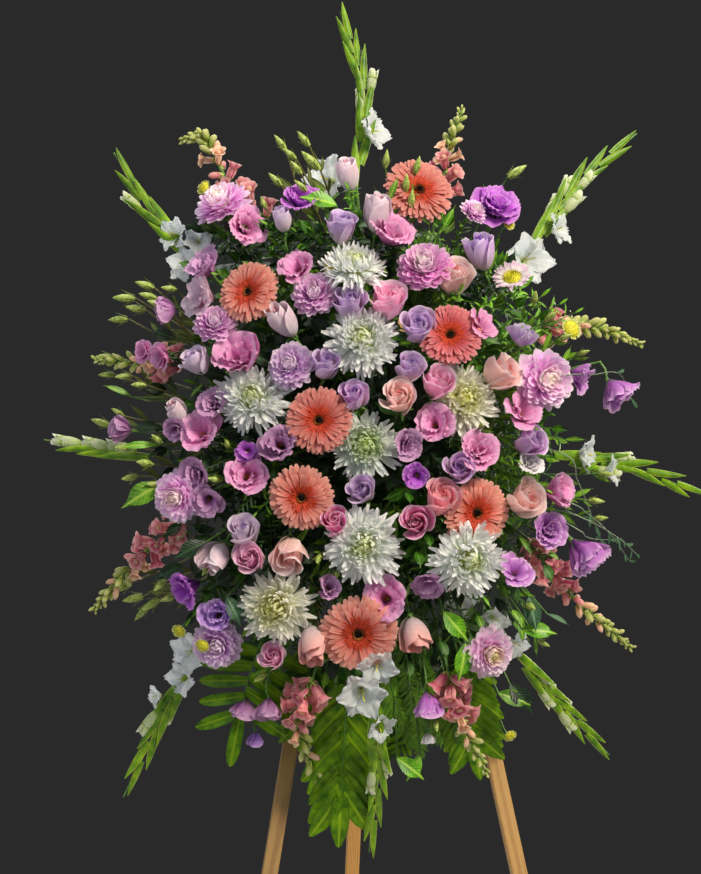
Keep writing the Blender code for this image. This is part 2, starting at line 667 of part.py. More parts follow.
def palm_frond(name, start, tip, half_width, foam, collection, cutters, finish):
    """A flat pinnate leaf: a petiole from the foam, then leaflets that rake towards the tip."""
    blade, point = (Vector((x * CM, y * CM, z * CM)) for x, z, y in (start, tip))
    root = stem_end(start[0], start[1])
    length = (point - root).length
    blade_from = (blade - root).length / length
    right_side = [(PETIOLE_HALF, 0.0), (PETIOLE_HALF, blade_from * length)]
    for index in range(FROND_LEAFLETS):
        low = blade_from + (1 - blade_from) * index / FROND_LEAFLETS
        high = blade_from + (1 - blade_from) * (index + 1) / FROND_LEAFLETS
        swell = math.sin(math.pi * (0.25 + 0.62 * (index + 0.5) / FROND_LEAFLETS))
        reach = half_width * CM * swell
        right_side.append((reach, (high * 0.75 + low * 0.25) * length))
        if index < FROND_LEAFLETS - 1:
            right_side.append((reach * 0.45, high * length))
    outline = [*right_side, (0.0, length), *((-x, y) for x, y in reversed(right_side))]
    curve = bpy.data.curves.new(name, "CURVE")
    curve.dimensions = "2D"
    curve.fill_mode = "BOTH"
    curve.extrude = FROND_THICKNESS / 2
    spline = curve.splines.new("POLY")
    spline.points.add(len(outline) - 1)
    for place, (x, y) in zip(spline.points, outline):
        place.co = (x, y, 0.0, 1.0)
    spline.use_cyclic_u = True
    along = (point - root).normalized()
    normal = (Vector((0, -1, 0)) - along * -along.y).normalized()
    across = along.cross(normal)
    matrix = Matrix((across, along, normal)).transposed().to_4x4()
    matrix.translation = root
    guide = add_object(name + "_outline", curve, collection, matrix)
    stem_hole(foam, name, [root, root + along * 0.12], PETIOLE_HALF * 1.25, cutters)
    return curve_to_mesh(name, guide, collection, finish)


def plants(foam, collection, cutters, finishes):
    for index, plan in enumerate(GERBERAS, 1):
        bloom(f"gerbera_{index}", plan, GERBERA_PROFILE, foam, collection, cutters, finishes["gerbera"])
    for index, plan in enumerate(CHRYSANTHEMUMS, 1):
        name = f"white_chrysanthemum_{index}"
        bloom(name, plan, CHRYSANTHEMUM_PROFILE, foam, collection, cutters, finishes["white_petal"])
    for word, plan, radius in GLADIOLI:
        name = f"gladiolus_{word}"
        spike(name, plan, radius, GLADIOLUS_SHAPE, foam, collection, cutters, finishes["white_petal"])
    for word, plan, radius in SNAPDRAGONS:
        name = f"snapdragon_{word}"
        spike(name, plan, radius, SNAPDRAGON_SHAPE, foam, collection, cutters, finishes["snapdragon"])
    for word, start, tip, half_width in PALM_FRONDS:
        name = f"palm_frond_{word}"
        palm_frond(name, start, tip, half_width, foam, collection, cutters, finishes["leaf"])


def stand_on_origin(objects, tools):
    """Moves everything so that the origin is under the middle of the model, on the floor."""
    bpy.context.view_layer.update()
    graph = bpy.context.evaluated_depsgraph_get()
    corners = [
        obj.evaluated_get(graph).matrix_world @ Vector(corner)
        for obj in objects
        for corner in obj.evaluated_get(graph).bound_box
    ]
    shift = Vector([-(min(c[i] for c in corners) + max(c[i] for c in corners)) / 2 for i in (0, 1)] + [0.0])
    for obj in (*objects, *tools):
        obj.matrix_world = Matrix.Translation(shift) @ obj.matrix_world
    bpy.context.view_layer.update()
    print("moved onto its origin by", [round(value, 5) for value in shift])
    print("hinge axis at", [round(value, 5) for value in HINGE_POINT + shift])


def main():
    clear_scene()
    model = new_collection("standing_spray")
    cutters = new_collection("cutters")
    wood = material("easel_wood", (0.62, 0.40, 0.19), 0.6)
    steel = material("zinc_steel", (0.62, 0.62, 0.60), 0.35, 1.0)
    plastic = material("holder_plastic", (0.03, 0.12, 0.05), 0.45)
    foam_finish = material("floral_foam", (0.05, 0.16, 0.07), 0.95)
    finishes = {
        "gerbera": material("gerbera_petal", (0.90, 0.33, 0.20), 0.5),
        "white_petal": material("white_petal", (0.85, 0.87, 0.80), 0.5),
        "snapdragon": material("snapdragon_petal", (0.80, 0.32, 0.34), 0.5),
        "leaf": material("leaf", (0.08, 0.28, 0.03), 0.45),
    }
    easel(model, wood, steel)
    foam = foam_block(model, foam_finish)
    tray = foam_tray(model, plastic, cutters)
    foam_spikes(tray, foam, cutters)
    plants(foam, model, cutters, finishes)
    stand_on_origin(list(model.objects), list(cutters.objects))


main()
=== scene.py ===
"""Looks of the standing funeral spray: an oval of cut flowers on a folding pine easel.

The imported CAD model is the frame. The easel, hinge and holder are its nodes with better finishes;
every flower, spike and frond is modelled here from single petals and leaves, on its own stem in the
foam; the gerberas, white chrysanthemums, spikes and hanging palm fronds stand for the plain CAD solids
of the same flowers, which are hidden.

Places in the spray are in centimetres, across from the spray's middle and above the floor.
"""

import logging
import math
import random
from collections.abc import Callable
from dataclasses import dataclass, field, replace
from enum import Enum

import bpy
import numpy as np
from mathutils import Matrix, Vector


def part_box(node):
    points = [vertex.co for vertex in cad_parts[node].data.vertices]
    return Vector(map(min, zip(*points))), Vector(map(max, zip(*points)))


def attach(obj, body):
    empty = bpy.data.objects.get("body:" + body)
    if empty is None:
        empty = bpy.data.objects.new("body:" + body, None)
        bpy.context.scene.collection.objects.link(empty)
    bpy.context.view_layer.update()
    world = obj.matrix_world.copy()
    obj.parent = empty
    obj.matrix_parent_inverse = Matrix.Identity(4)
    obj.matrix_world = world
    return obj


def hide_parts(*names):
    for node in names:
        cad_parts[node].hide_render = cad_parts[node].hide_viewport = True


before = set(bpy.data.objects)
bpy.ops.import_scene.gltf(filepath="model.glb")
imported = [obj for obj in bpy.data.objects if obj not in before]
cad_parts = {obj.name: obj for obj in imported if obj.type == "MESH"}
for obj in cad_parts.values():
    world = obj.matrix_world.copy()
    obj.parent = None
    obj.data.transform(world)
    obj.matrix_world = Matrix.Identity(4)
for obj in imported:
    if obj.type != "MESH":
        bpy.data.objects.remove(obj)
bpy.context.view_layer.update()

LOG = logging.getLogger("standing_spray")

CM = 0.01
MM = 0.001
TURN = 2 * math.pi
GOLDEN_ANGLE = math.pi * (3.0 - math.sqrt(5.0))
EVEN_STEPS = (0.618, 0.381)  # the fractions of their multiples spread evenly between 0 and 1
FRONT = Vector((0, -1, 0))
LYING = Matrix.Rotation(math.radians(-90), 4, "X")  # lays down along +Y what stands along +Z

Tree = bpy.types.NodeTree
Node = bpy.types.Node
Socket = bpy.types.NodeSocket
Mesh = bpy.types.Mesh
Object = bpy.types.Object
Material = bpy.types.Material
Place = tuple[float, float, float]


# Small tools -------------------------------------------------------------------------------------


def linear(code: str) -> tuple[float, ...]:
    """Turns an sRGB hex colour into linear light.

    Args:
        code: The colour, as "#rrggbb".

    Returns:
        Red, green, blue and alpha in linear light.
    """
    shares = [int(code[i : i + 2], 16) / 255 for i in (1, 3, 5)]
    lit = [c / 12.92 if c <= 0.04045 else ((c + 0.055) / 1.055) ** 2.4 for c in shares]
    return (*lit, 1.0)


def add_node(tree: Tree, kind: str, settings: dict | None = None, links: dict | None = None) -> Node:
    """Adds a shader node with its settings and links.

    Args:
        tree: The node tree.
        kind: The node's type without "ShaderNode".
        settings: Property names, or input names or numbers, with their values. A text value of an
            input is a hex colour, and "stops" are a ramp's places with their hex colours.
        links: Input names or numbers, and the sockets that feed them.

    Returns:
        The new node.
    """
    made = tree.nodes.new("ShaderNode" + kind)
    for key, value in (settings or {}).items():
        if key == "stops":
            elements = made.color_ramp.elements
            while len(elements) < len(value):
                elements.new(0.5)
            for element, (place, code) in zip(elements, value):
                element.position = place
                element.color = linear(code)
        elif isinstance(key, str) and hasattr(made, key):
            setattr(made, key, value)
        else:
            made.inputs[key].default_value = linear(value) if isinstance(value, str) else value
    for key, socket in (links or {}).items():
        tree.links.new(socket, made.inputs[key])
    return made


def side_distance(tree: Tree, across: Socket) -> Socket:
    """How far a place on a blade is from its midline.

    Args:
        tree: The node tree.
        across: Its place across the blade, from 0 to 1.

    Returns:
        The socket: 0 on the midline, 0.5 at the sides.
    """
    centred = add_node(tree, "Math", {"operation": "SUBTRACT", 1: 0.5}, {0: across})
    return add_node(tree, "Math", {"operation": "ABSOLUTE"}, {0: centred.outputs[0]}).outputs[0]


def let_through(tree: Tree, shader: Node, colour: Socket, share: float) -> None:
    """Lets a share of the light through a thin sheet.

    Args:
        tree: The material's node tree.
        shader: Its Principled shader.
        colour: The socket of the sheet's colour.
        share: The share of light.
    """
    behind = add_node(tree, "BsdfTranslucent", links={"Color": colour})
    mixed = add_node(tree, "MixShader", {"Fac": share}, {1: shader.outputs[0], 2: behind.outputs[0]})
    tree.links.new(mixed.outputs[0], tree.nodes["Material Output"].inputs["Surface"])


def new_material(name: str, roughness: float, metallic: float = 0.0) -> tuple[Material, Node]:
    """Makes a material that holds one Principled shader.

    Args:
        name: The material's name.
        roughness: The shader's roughness.
        metallic: The shader's metallic value.

    Returns:
        The material and its shader.
    """
    made = bpy.data.materials.new(name)
    made.use_nodes = True
    shader = made.node_tree.nodes["Principled BSDF"]
    shader.inputs["Roughness"].default_value = roughness
    shader.inputs["Metallic"].default_value = metallic
    return made, shader


def deselect_all() -> None:
    """Clears the selection, which operators act on."""
    bpy.ops.object.select_all(action="DESELECT")


def linked(name: str, data: bpy.types.ID) -> Object:
    """Puts a mesh, curve, light or camera into the scene.

    Args:
        name: The object's name.
        data: What it holds.

    Returns:
        The object, at the origin.
    """
    made = bpy.data.objects.new(name, data)
    bpy.context.scene.collection.objects.link(made)
    return made


def joined(name: str, parts: list[Object]) -> Object:
    """Joins objects into the first of them.

    Args:
        name: The name of the joined object and its mesh.
        parts: The objects, all at the origin.

    Returns:
        The joined object.
    """
    deselect_all()
    for part in parts:
        part.select_set(True)
    bpy.context.view_layer.objects.active = parts[0]
    if len(parts) > 1:
        bpy.ops.object.join()
    parts[0].name = name
    parts[0].data.name = name
    return parts[0]


def settle(name: str, parts: list[Object], node: str | None = None) -> None:
    """Joins parts into a finished piece that rides on the easel's frame.

    Args:
        name: The piece's name.
        parts: Its parts.
        node: The CAD node that it stands for, if there is one.
    """
    piece = joined(name, parts)
    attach(piece, "frame")
    if node:
        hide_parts(node)
    LOG.info("%s: %d faces", name, len(piece.data.polygons))


def lifted_out(piece: Object) -> Mesh:
    """Takes an object out of the scene.

    Args:
        piece: The object.

    Returns:
        Its mesh.
    """
    mesh = piece.data
    bpy.data.objects.remove(piece)
    return mesh


def primitive(add: Callable, **sizes: float) -> Mesh:
    """Adds a primitive, to be shaped.

    Args:
        add: The operator that adds it.
        sizes: The operator's settings.

    Returns:
        Its mesh, out of the scene.
    """
    deselect_all()
    add(**sizes)
    return lifted_out(bpy.context.active_object)


def places_of(mesh: Mesh) -> np.ndarray:
    """Reads a mesh's vertices.

    Args:
        mesh: The mesh.

    Returns:
        Their X, Y and Z, a row for each.
    """
    flat = np.empty(len(mesh.vertices) * 3, np.float32)
    mesh.vertices.foreach_get("co", flat)
    return flat.reshape(-1, 3)


def shaped(mesh: Mesh, name: str, axes: tuple[np.ndarray, ...], finish: "Finish") -> Mesh:
    """Moves a mesh's vertices, smooths it and gives it its finish.

    Args:
        mesh: The mesh.
        name: Its new name.
        axes: The vertices' X, Y and Z.
        finish: The finish.

    Returns:
        The mesh.
    """
    mesh.name = name
    mesh.vertices.foreach_set("co", np.stack(axes, axis=1).astype(np.float32).ravel())
    mesh.shade_smooth()
    mesh.materials.append(finish.material())
    mesh.update()
    return mesh


def aim(origin: Vector, direction: Vector, spin: float = 0.0) -> Matrix:
    """A placing matrix whose Z runs along a direction.

    Args:
        origin: Where the piece's own origin goes.
        direction: Where its Z axis points.
        spin: Turn about that axis, in radians.

    Returns:
        The matrix.
    """
    z_axis = Vector(direction).normalized()
    up = Vector((0.0, 0.0, 1.0)) if abs(z_axis.z) < 0.95 else Vector((0.0, -1.0, 0.0))
    x_axis = up.cross(z_axis).normalized()
    y_axis = z_axis.cross(x_axis)
    made = Matrix((x_axis, y_axis, z_axis)).transposed().to_4x4()
    made.translation = origin
    return made @ Matrix.Rotation(spin, 4, "Z")


def smooth_line(points: list[Vector], count: int) -> list[Vector]:
    """Points at even steps on a Catmull-Rom curve.

    Args:
        points: The points that the curve goes through.
        count: How many points to return.

    Returns:
        The points of the curve.
    """
    ends = [2 * points[0] - points[1], *points, 2 * points[-1] - points[-2]]
    line = []
    for step in range(count):
        place = step / (count - 1) * (len(points) - 1)
        index = min(int(place), len(points) - 2)
        t = place - index
        a, b, c, d = ends[index : index + 4]
        swing = (c - a) * t + (2 * a - 5 * b + 4 * c - d) * t**2 + (3 * b - 3 * c + d - a) * t**3
        line.append(0.5 * (2 * b + swing))
    return line


def paint_values(mesh: Mesh, **values: float) -> None:
    """Gives every vertex of a mesh the same value of each attribute.

    Args:
        mesh: The mesh.
        values: The attributes' values.
    """
    for name, value in values.items():
        layer = mesh.attributes.get(name) or mesh.attributes.new(name, "FLOAT", "POINT")
        layer.data.foreach_set("value", np.full(len(mesh.vertices), value, np.float32))


def shift_values(mesh: Mesh, name: str, shift: float) -> None:
    """Adds to an attribute all over a mesh.

    Args:
        mesh: The mesh.
        name: The attribute.
        shift: What is added.
    """
    layer = mesh.attributes[name]
    values = np.empty(len(mesh.vertices), np.float32)
    layer.data.foreach_get("value", values)
    layer.data.foreach_set("value", values + shift)


# Finishes ----------------------------------------------------------------------------------------


@dataclass(frozen=True)
class Finish:
    """A finish of this object: its material is built the first time that a piece asks for it."""

    name: str

    metallic = 0.0

    def material(self) -> Material:
        """The finish's material, built once.

        Returns:
            The material.
        """
        known = bpy.data.materials.get(self.name)
        if known:
            return known
        made, shader = new_material(self.name, self.roughness, self.metallic)
        self.paint(made.node_tree, shader)
        return made

    def paint(self, tree: Tree, shader: Node) -> None:
        """Adds the finish's own nodes to a new material."""
        raise NotImplementedError

    def coat(self, tree: Tree, shader: Node, colour: Socket, height: Socket, bump: dict) -> None:
        """Feeds the shader its colour and a fine relief.

        Args:
            tree: The material's node tree.
            shader: Its Principled shader.
            colour: The colour's socket.
            height: The relief's socket.
            bump: The relief's strength and depth.
        """
        tree.links.new(colour, shader.inputs["Base Color"])
        relief = add_node(tree, "Bump", bump, {"Height": height})
        tree.links.new(relief.outputs["Normal"], shader.inputs["Normal"])


@dataclass(frozen=True)
class PetalFinish(Finish):
    """Fresh petal: thin, matt and slightly velvety, veined from base to tip.

    The colour runs along the petal, and the bloom's core has its own. Each petal's tone attribute
    makes it lighter or darker than its neighbours.
    """

    base: str
    body: str
    tip: str
    core: str
    rim: str | None = None
    core_reach: float = 0.35  # how far out from the middle the core's colour goes
    veins: float = 0.25
    vein_count: float = 7.0
    roughness: float = 0.55
    sheen: float = 0.2
    base_end: float = 0.30
    tip_start: float = 0.82
    glow: float = 0.30  # the share of light that the petal lets through
    edge: float = 0.0  # how far the rim's colour runs down the petal's sides
    slot: str = "rose_petal"

    def paint(self, tree: Tree, shader: Node) -> None:
        """Adds the petal's nodes.

        Args:
            tree: The material's node tree.
            shader: Its Principled shader.
        """
        uv = add_node(tree, "UVMap", {"uv_map": "UVMap"}).outputs["UV"]
        split = add_node(tree, "SeparateXYZ", links={0: uv}).outputs
        rim = self.rim or self.tip
        stops = [(0.0, self.base), (self.base_end, self.body), (self.tip_start, self.tip), (1.0, rim)]
        colour = add_node(tree, "ValToRGB", {"stops": stops}, {0: split["Y"]}).outputs[0]
        ring = add_node(tree, "Attribute", {"attribute_name": "ring"}).outputs["Fac"]
        inward = add_node(tree, "MapRange", {1: self.core_reach, 2: 0.0, 3: 0.0, 4: 1.0}, {0: ring})
        cored = add_node(
            tree, "Mix", {"data_type": "RGBA", 7: self.core}, {0: inward.outputs[0], 6: colour}
        ).outputs[2]
        aside = side_distance(tree, split["X"])
        outline = add_node(tree, "MapRange", {1: 0.36, 2: 0.49, 3: 0.0, 4: self.edge}, {0: aside})
        rimmed = add_node(tree, "Mix", {"data_type": "RGBA", 7: rim}, {0: outline.outputs[0], 6: cored})
        streaks = add_node(tree, "Mapping", {"Scale": (self.vein_count, 0.8, 1.0)}, {"Vector": uv})
        noise = {"Scale": 3.0, "Detail": 3.0, "Roughness": 0.6}
        veins = add_node(tree, "TexNoise", noise, {"Vector": streaks.outputs[0]}).outputs["Fac"]
        place = add_node(tree, "TexCoord").outputs["Object"]
        # Uneven pigment, in patches about 6 mm across
        patches = add_node(tree, "TexNoise", {"Scale": 1 / (6 * MM), "Detail": 2.0}, {"Vector": place})
        tone = add_node(tree, "Attribute", {"attribute_name": "tone"}).outputs["Fac"]
        span = {1: 0.3, 2: 0.7, 3: 1.0 - self.veins, 4: 1.0 + self.veins * 0.4}
        light = add_node(tree, "MapRange", span, {0: veins})
        patch_light = add_node(
            tree, "MapRange", {1: 0.3, 2: 0.7, 3: 0.93, 4: 1.05}, {0: patches.outputs["Fac"]}
        )
        for factor in (patch_light.outputs[0], tone):
            light = add_node(tree, "Math", {"operation": "MULTIPLY"}, {0: light.outputs[0], 1: factor})
        shaded = add_node(
            tree, "HueSaturation", links={"Value": light.outputs[0], "Color": rimmed.outputs[2]}
        ).outputs[0]
        self.coat(tree, shader, shaded, veins, {"Strength": 0.35, "Distance": 0.4 * MM})
        shader.inputs["Sheen Weight"].default_value = self.sheen
        shader.inputs["Sheen Roughness"].default_value = 0.4
        shader.inputs["Specular IOR Level"].default_value = 0.3
        let_through(tree, shader, shaded, self.glow)


@dataclass(frozen=True)
class LeafFinish(Finish):
    """Fresh leaf: waxy and glossy above, with a pale midrib and side veins."""

    dark: str
    light: str
    rib: str
    roughness: float = 0.42
    side_veins: float = 9.0
    glow: float = 0.15
    edge: str | None = None  # the colour of its margins: a painted highlight where it is paler, on the gladiolus bracts, and painted shade where it is darker, on the palm leaflets
    gloss: float = 0.5
    slot: str = "leaf"

    def paint(self, tree: Tree, shader: Node) -> None:
        """Adds the leaf's nodes.

        Args:
            tree: The material's node tree.
            shader: Its Principled shader.
        """
        uv = add_node(tree, "UVMap", {"uv_map": "UVMap"})
        split = add_node(tree, "SeparateXYZ", links={0: uv.outputs["UV"]}).outputs
        aside = side_distance(tree, split["X"])
        rib = add_node(tree, "MapRange", {1: 0.03, 2: 0.10, 3: 0.75, 4: 0.0}, {0: aside}).outputs[0]
        # Side veins leave the midrib slanting towards the tip
        vein = add_node(tree, "Math", {"operation": "MULTIPLY_ADD", 1: -0.5}, {0: aside, 2: split["Y"]})
        for wave in ({"operation": "MULTIPLY", 1: self.side_veins * TURN}, {"operation": "SINE"}):
            vein = add_node(tree, "Math", wave, {0: vein.outputs[0]})
        place = add_node(tree, "TexCoord").outputs["Object"]
        # Leaves differ in patches of a few centimetres
        noise = {"Scale": 1 / (22 * MM), "Detail": 3.0, "Roughness": 0.55}
        patches = add_node(tree, "TexNoise", noise, {"Vector": place}).outputs["Fac"]
        tone = add_node(tree, "Attribute", {"attribute_name": "tone"}).outputs["Fac"]
        mixed = add_node(
            tree, "Math", {"operation": "MULTIPLY_ADD", 1: 0.06}, {0: vein.outputs[0], 2: patches}
        )
        stops = [(0.32, self.dark), (0.68, self.light)]
        body = add_node(tree, "ValToRGB", {"stops": stops}, {0: mixed.outputs[0]}).outputs[0]
        ribbed = add_node(tree, "Mix", {"data_type": "RGBA", 7: self.rib}, {0: rib, 6: body}).outputs[2]
        # Margins in the edge colour: on the gladiolus bracts a painted highlight, on the palm leaflets
        # painted shade.
        if self.edge:
            margin = add_node(tree, "MapRange", {1: 0.38, 2: 0.48, 3: 0.0, 4: 0.8}, {0: aside}).outputs[0]
            ribbed = add_node(
                tree, "Mix", {"data_type": "RGBA", 7: self.edge}, {0: margin, 6: ribbed}
            ).outputs[2]
        shaded = add_node(tree, "HueSaturation", links={"Value": tone, "Color": ribbed}).outputs[0]
        self.coat(tree, shader, shaded, vein.outputs[0], {"Strength": 0.3, "Distance": 0.5 * MM})
        shader.inputs["Specular IOR Level"].default_value = self.gloss
        let_through(tree, shader, shaded, self.glow)


@dataclass(frozen=True)
class GrainyFinish(Finish):
    """A fine-grained surface of two close colours: moulded plastic, wet foam or zinc plating."""

    dark: str
    light: str
    grain: float
    depth: float
    roughness: float
    metallic: float = 0.0
    detail: float = 4.0
    spread: float = 0.2  # how softly the two colours blend
    relief: float = 0.6

    def paint(self, tree: Tree, shader: Node) -> None:
        """Adds the grain's nodes.

        Args:
            tree: The material's node tree.
            shader: Its Principled shader.
        """
        place = add_node(tree, "TexCoord").outputs["Object"]
        noise = {"Scale": 1 / self.grain, "Detail": self.detail}
        grain = add_node(tree, "TexNoise", noise, {"Vector": place}).outputs["Fac"]
        stops = [(0.5 - self.spread, self.dark), (0.5 + self.spread, self.light)]
        colour = add_node(tree, "ValToRGB", {"stops": stops}, {0: grain}).outputs[0]
        self.coat(tree, shader, colour, grain, {"Strength": self.relief, "Distance": self.depth})


@dataclass(frozen=True)
class StemFinish(GrainyFinish):
    """Green stem, bud or flower eye: waxy, in streaks about 2 mm wide."""

    grain: float = 4 * MM
    depth: float = 0.3 * MM
    roughness: float = 0.5
    detail: float = 3.0
    spread: float = 0.15
    relief: float = 0.2
    slot: str = "stem"


@dataclass(frozen=True)
class PineFinish(Finish):
    """Planed pine: orange-tan, with darker growth lines along the batten and a few knots."""

    along: Place  # the batten's direction
    early: str
    late: str
    knot: str = "#7c4a24"
    roughness: float = 0.55
    ring_width: float = 3.5 * MM
    fibre_width: float = 0.9 * MM
    length_stretch: float = 22.0

    def paint(self, tree: Tree, shader: Node) -> None:
        """Adds the wood's nodes.

        Args:
            tree: The material's node tree.
            shader: Its Principled shader.
        """
        place = add_node(tree, "TexCoord").outputs["Object"]
        turn = Vector(self.along).normalized().rotation_difference(Vector((0, 0, 1))).to_euler()
        turned = add_node(tree, "Mapping", {"Rotation": tuple(turn)}, {"Vector": place}).outputs[0]
        stretch = {"Scale": (1.0, 1.0, 1.0 / self.length_stretch)}
        drawn = add_node(tree, "Mapping", stretch, {"Vector": turned}).outputs[0]
        sway = add_node(tree, "TexNoise", {"Scale": 30.0, "Detail": 2.0}, {"Vector": drawn})
        bent = add_node(
            tree, "MixRGB", {"blend_type": "LINEAR_LIGHT", "Fac": 0.006},
            {"Color1": drawn, "Color2": sway.outputs["Color"]},
        )
        bands = {
            "wave_type": "BANDS", "bands_direction": "X", "Scale": 0.314 / self.ring_width,
            "Distortion": 2.0, "Detail": 3.0, "Detail Scale": 1.5,
        }
        rings = add_node(tree, "TexWave", bands, {"Vector": bent.outputs["Color"]})
        noise = {"Scale": 1 / self.fibre_width, "Detail": 4.0}
        fibre = add_node(tree, "TexNoise", noise, {"Vector": drawn}).outputs["Fac"]
        knots = add_node(tree, "TexVoronoi", {"Scale": 7.0, "Randomness": 1.0}, {"Vector": turned})
        knot = add_node(
            tree, "MapRange", {1: 0.05, 2: 0.09, 3: 1.0, 4: 0.0}, {0: knots.outputs["Distance"]}
        )
        stops = [(0.15, self.late), (0.6, self.early)]
        body = add_node(tree, "ValToRGB", {"stops": stops}, {0: rings.outputs["Fac"]}).outputs[0]
        light = add_node(tree, "MapRange", {1: 0.3, 2: 0.7, 3: 0.86, 4: 1.08}, {0: fibre}).outputs[0]
        shaded = add_node(tree, "HueSaturation", links={"Value": light, "Color": body}).outputs[0]
        knotted = add_node(
            tree, "Mix", {"data_type": "RGBA", 7: self.knot}, {0: knot.outputs[0], 6: shaded}
        )
        self.coat(tree, shader, knotted.outputs[2], fibre, {"Strength": 0.25, "Distance": 0.3 * MM})


# Petals and leaves -------------------------------------------------------------------------------


@dataclass(frozen=True)
class Blade:
    """One petal or leaf, as a thin sheet that lies along +Y from the origin with its face up.

    Lengths are shares of the bloom's radius, so that one blade serves blooms of any size.
    """

    length: float
    width: float
    outline: tuple[float, ...]  # widths at even steps from base to tip, as shares of width
    columns: int = 4
    rows: int = 8
    curl: float = 0.0  # how far the spine has turned up at the tip, in degrees
    curl_power: float = 1.0  # higher values keep the curl near the tip
    lip: float = 0.0  # a second turn, at the tip only
    lip_power: float = 5.0
    cup: float = 0.0  # half angle of the arc across the blade, in degrees
    cup_tip: float | None = None  # the same at the tip, if it differs
    round_tip: float = 0.15  # how far the tip's sides fall short of its middle
    notch: float = 0.0
    ruffle: float = 0.0
    waves: float = 3.0
    groove: float = 0.0

    def mesh(self, name: str, finish: Finish, seed: int = 0) -> Mesh:
        """Shapes a flat grid into the blade.

        Args:
            name: The mesh's name.
            finish: The finish that dresses it.
            seed: Sets the phase of the ruffles.

        Returns:
            The mesh.
        """
        mesh = primitive(
            bpy.ops.mesh.primitive_grid_add, x_subdivisions=self.columns, y_subdivisions=self.rows, size=2.0
        )
        across, along = places_of(mesh).astype(float).T[:2]
        along = (along + 1) / 2
        phase = random.Random(seed).uniform(0, TURN)
        half = self.half_width(along)
        reach = along - self.round_tip * np.abs(across) ** 2.2 * along**3
        reach -= self.notch * np.exp(-((across / 0.25) ** 2)) * along**6
        spine_y, spine_z, turn = self.spine(reach)
        edge = self.cup if self.cup_tip is None else self.cup_tip
        arc = np.radians(self.cup + (edge - self.cup) * along)
        arc = np.where(np.abs(arc) < 1e-3, 1e-3, arc)
        side = half * np.sin(arc * across) / arc
        lift = half * (1 - np.cos(arc * across)) / arc
        wavy = np.sin(self.waves * math.pi * (across * 0.8 + along) + phase)
        lift += self.ruffle * wavy * np.abs(across) ** 1.5 * along
        lift += self.ruffle * 0.8 * np.sin(self.waves * 1.7 * math.pi * across + phase) * along**4
        lift += self.groove * self.width * np.cos(across * 3 * math.pi) * along
        axes = (side, spine_y - np.sin(turn) * lift, spine_z + np.cos(turn) * lift)
        return shaped(mesh, name, axes, finish)

    def half_width(self, along: np.ndarray) -> np.ndarray:
        """Half of the blade's width.

        Args:
            along: Shares of its length.

        Returns:
            The half width at each share.
        """
        fine = np.linspace(0, 1, 41)
        rough = np.interp(fine, np.linspace(0, 1, len(self.outline)), self.outline)
        window = np.hanning(9)
        soft = np.convolve(np.pad(rough, 3, mode="edge"), window[1:-1] / window.sum(), "valid")
        return np.interp(along, fine, soft) * self.width / 2

    def spine(self, reach: np.ndarray) -> tuple[np.ndarray, ...]:
        """The spine's place and slope.

        Args:
            reach: Shares of the length.

        Returns:
            Y, Z and the slope angle at each share.
        """
        steps = np.linspace(0, 1, 65)
        slope = np.radians(self.curl * steps**self.curl_power + self.lip * steps**self.lip_power)
        middle = (slope[1:] + slope[:-1]) / 2
        run, rise = (np.concatenate(([0.0], np.cumsum(part(middle)))) / 64 for part in (np.cos, np.sin))
        place = [np.interp(reach, steps, values) for values in (run, rise, slope)]
        return place[0] * self.length, place[1] * self.length, place[2]


@dataclass(frozen=True)
class Pod:
    """One closed bud: a smooth body, 1 long, that stands on the origin along +Z."""

    width: float
    outline: tuple[float, ...]  # widths at even steps from base to tip, as shares of width
    thick: float = 1.0  # its depth as a share of its width
    bend: float = 0.0  # how far its tip hangs forward

    def mesh(self, name: str, finish: Finish) -> Mesh:
        """Shapes a ball into the pod.

        Args:
            name: The mesh's name.
            finish: The finish that dresses it.

        Returns:
            The mesh.
        """
        mesh = primitive(bpy.ops.mesh.primitive_uv_sphere_add, segments=8, ring_count=8, radius=1.0)
        x, y, z = places_of(mesh).astype(float).T
        along = np.arccos(np.clip(-z, -1, 1)) / math.pi
        half = np.interp(along, np.linspace(0, 1, len(self.outline)), self.outline) * self.width / 2
        around = np.hypot(x, y)
        half = np.where(around < 1e-4, 0.0, half / np.maximum(around, 1e-4))
        axes = (x * half, y * half * self.thick + self.bend * along**2, along)
        return shaped(mesh, name, axes, finish)


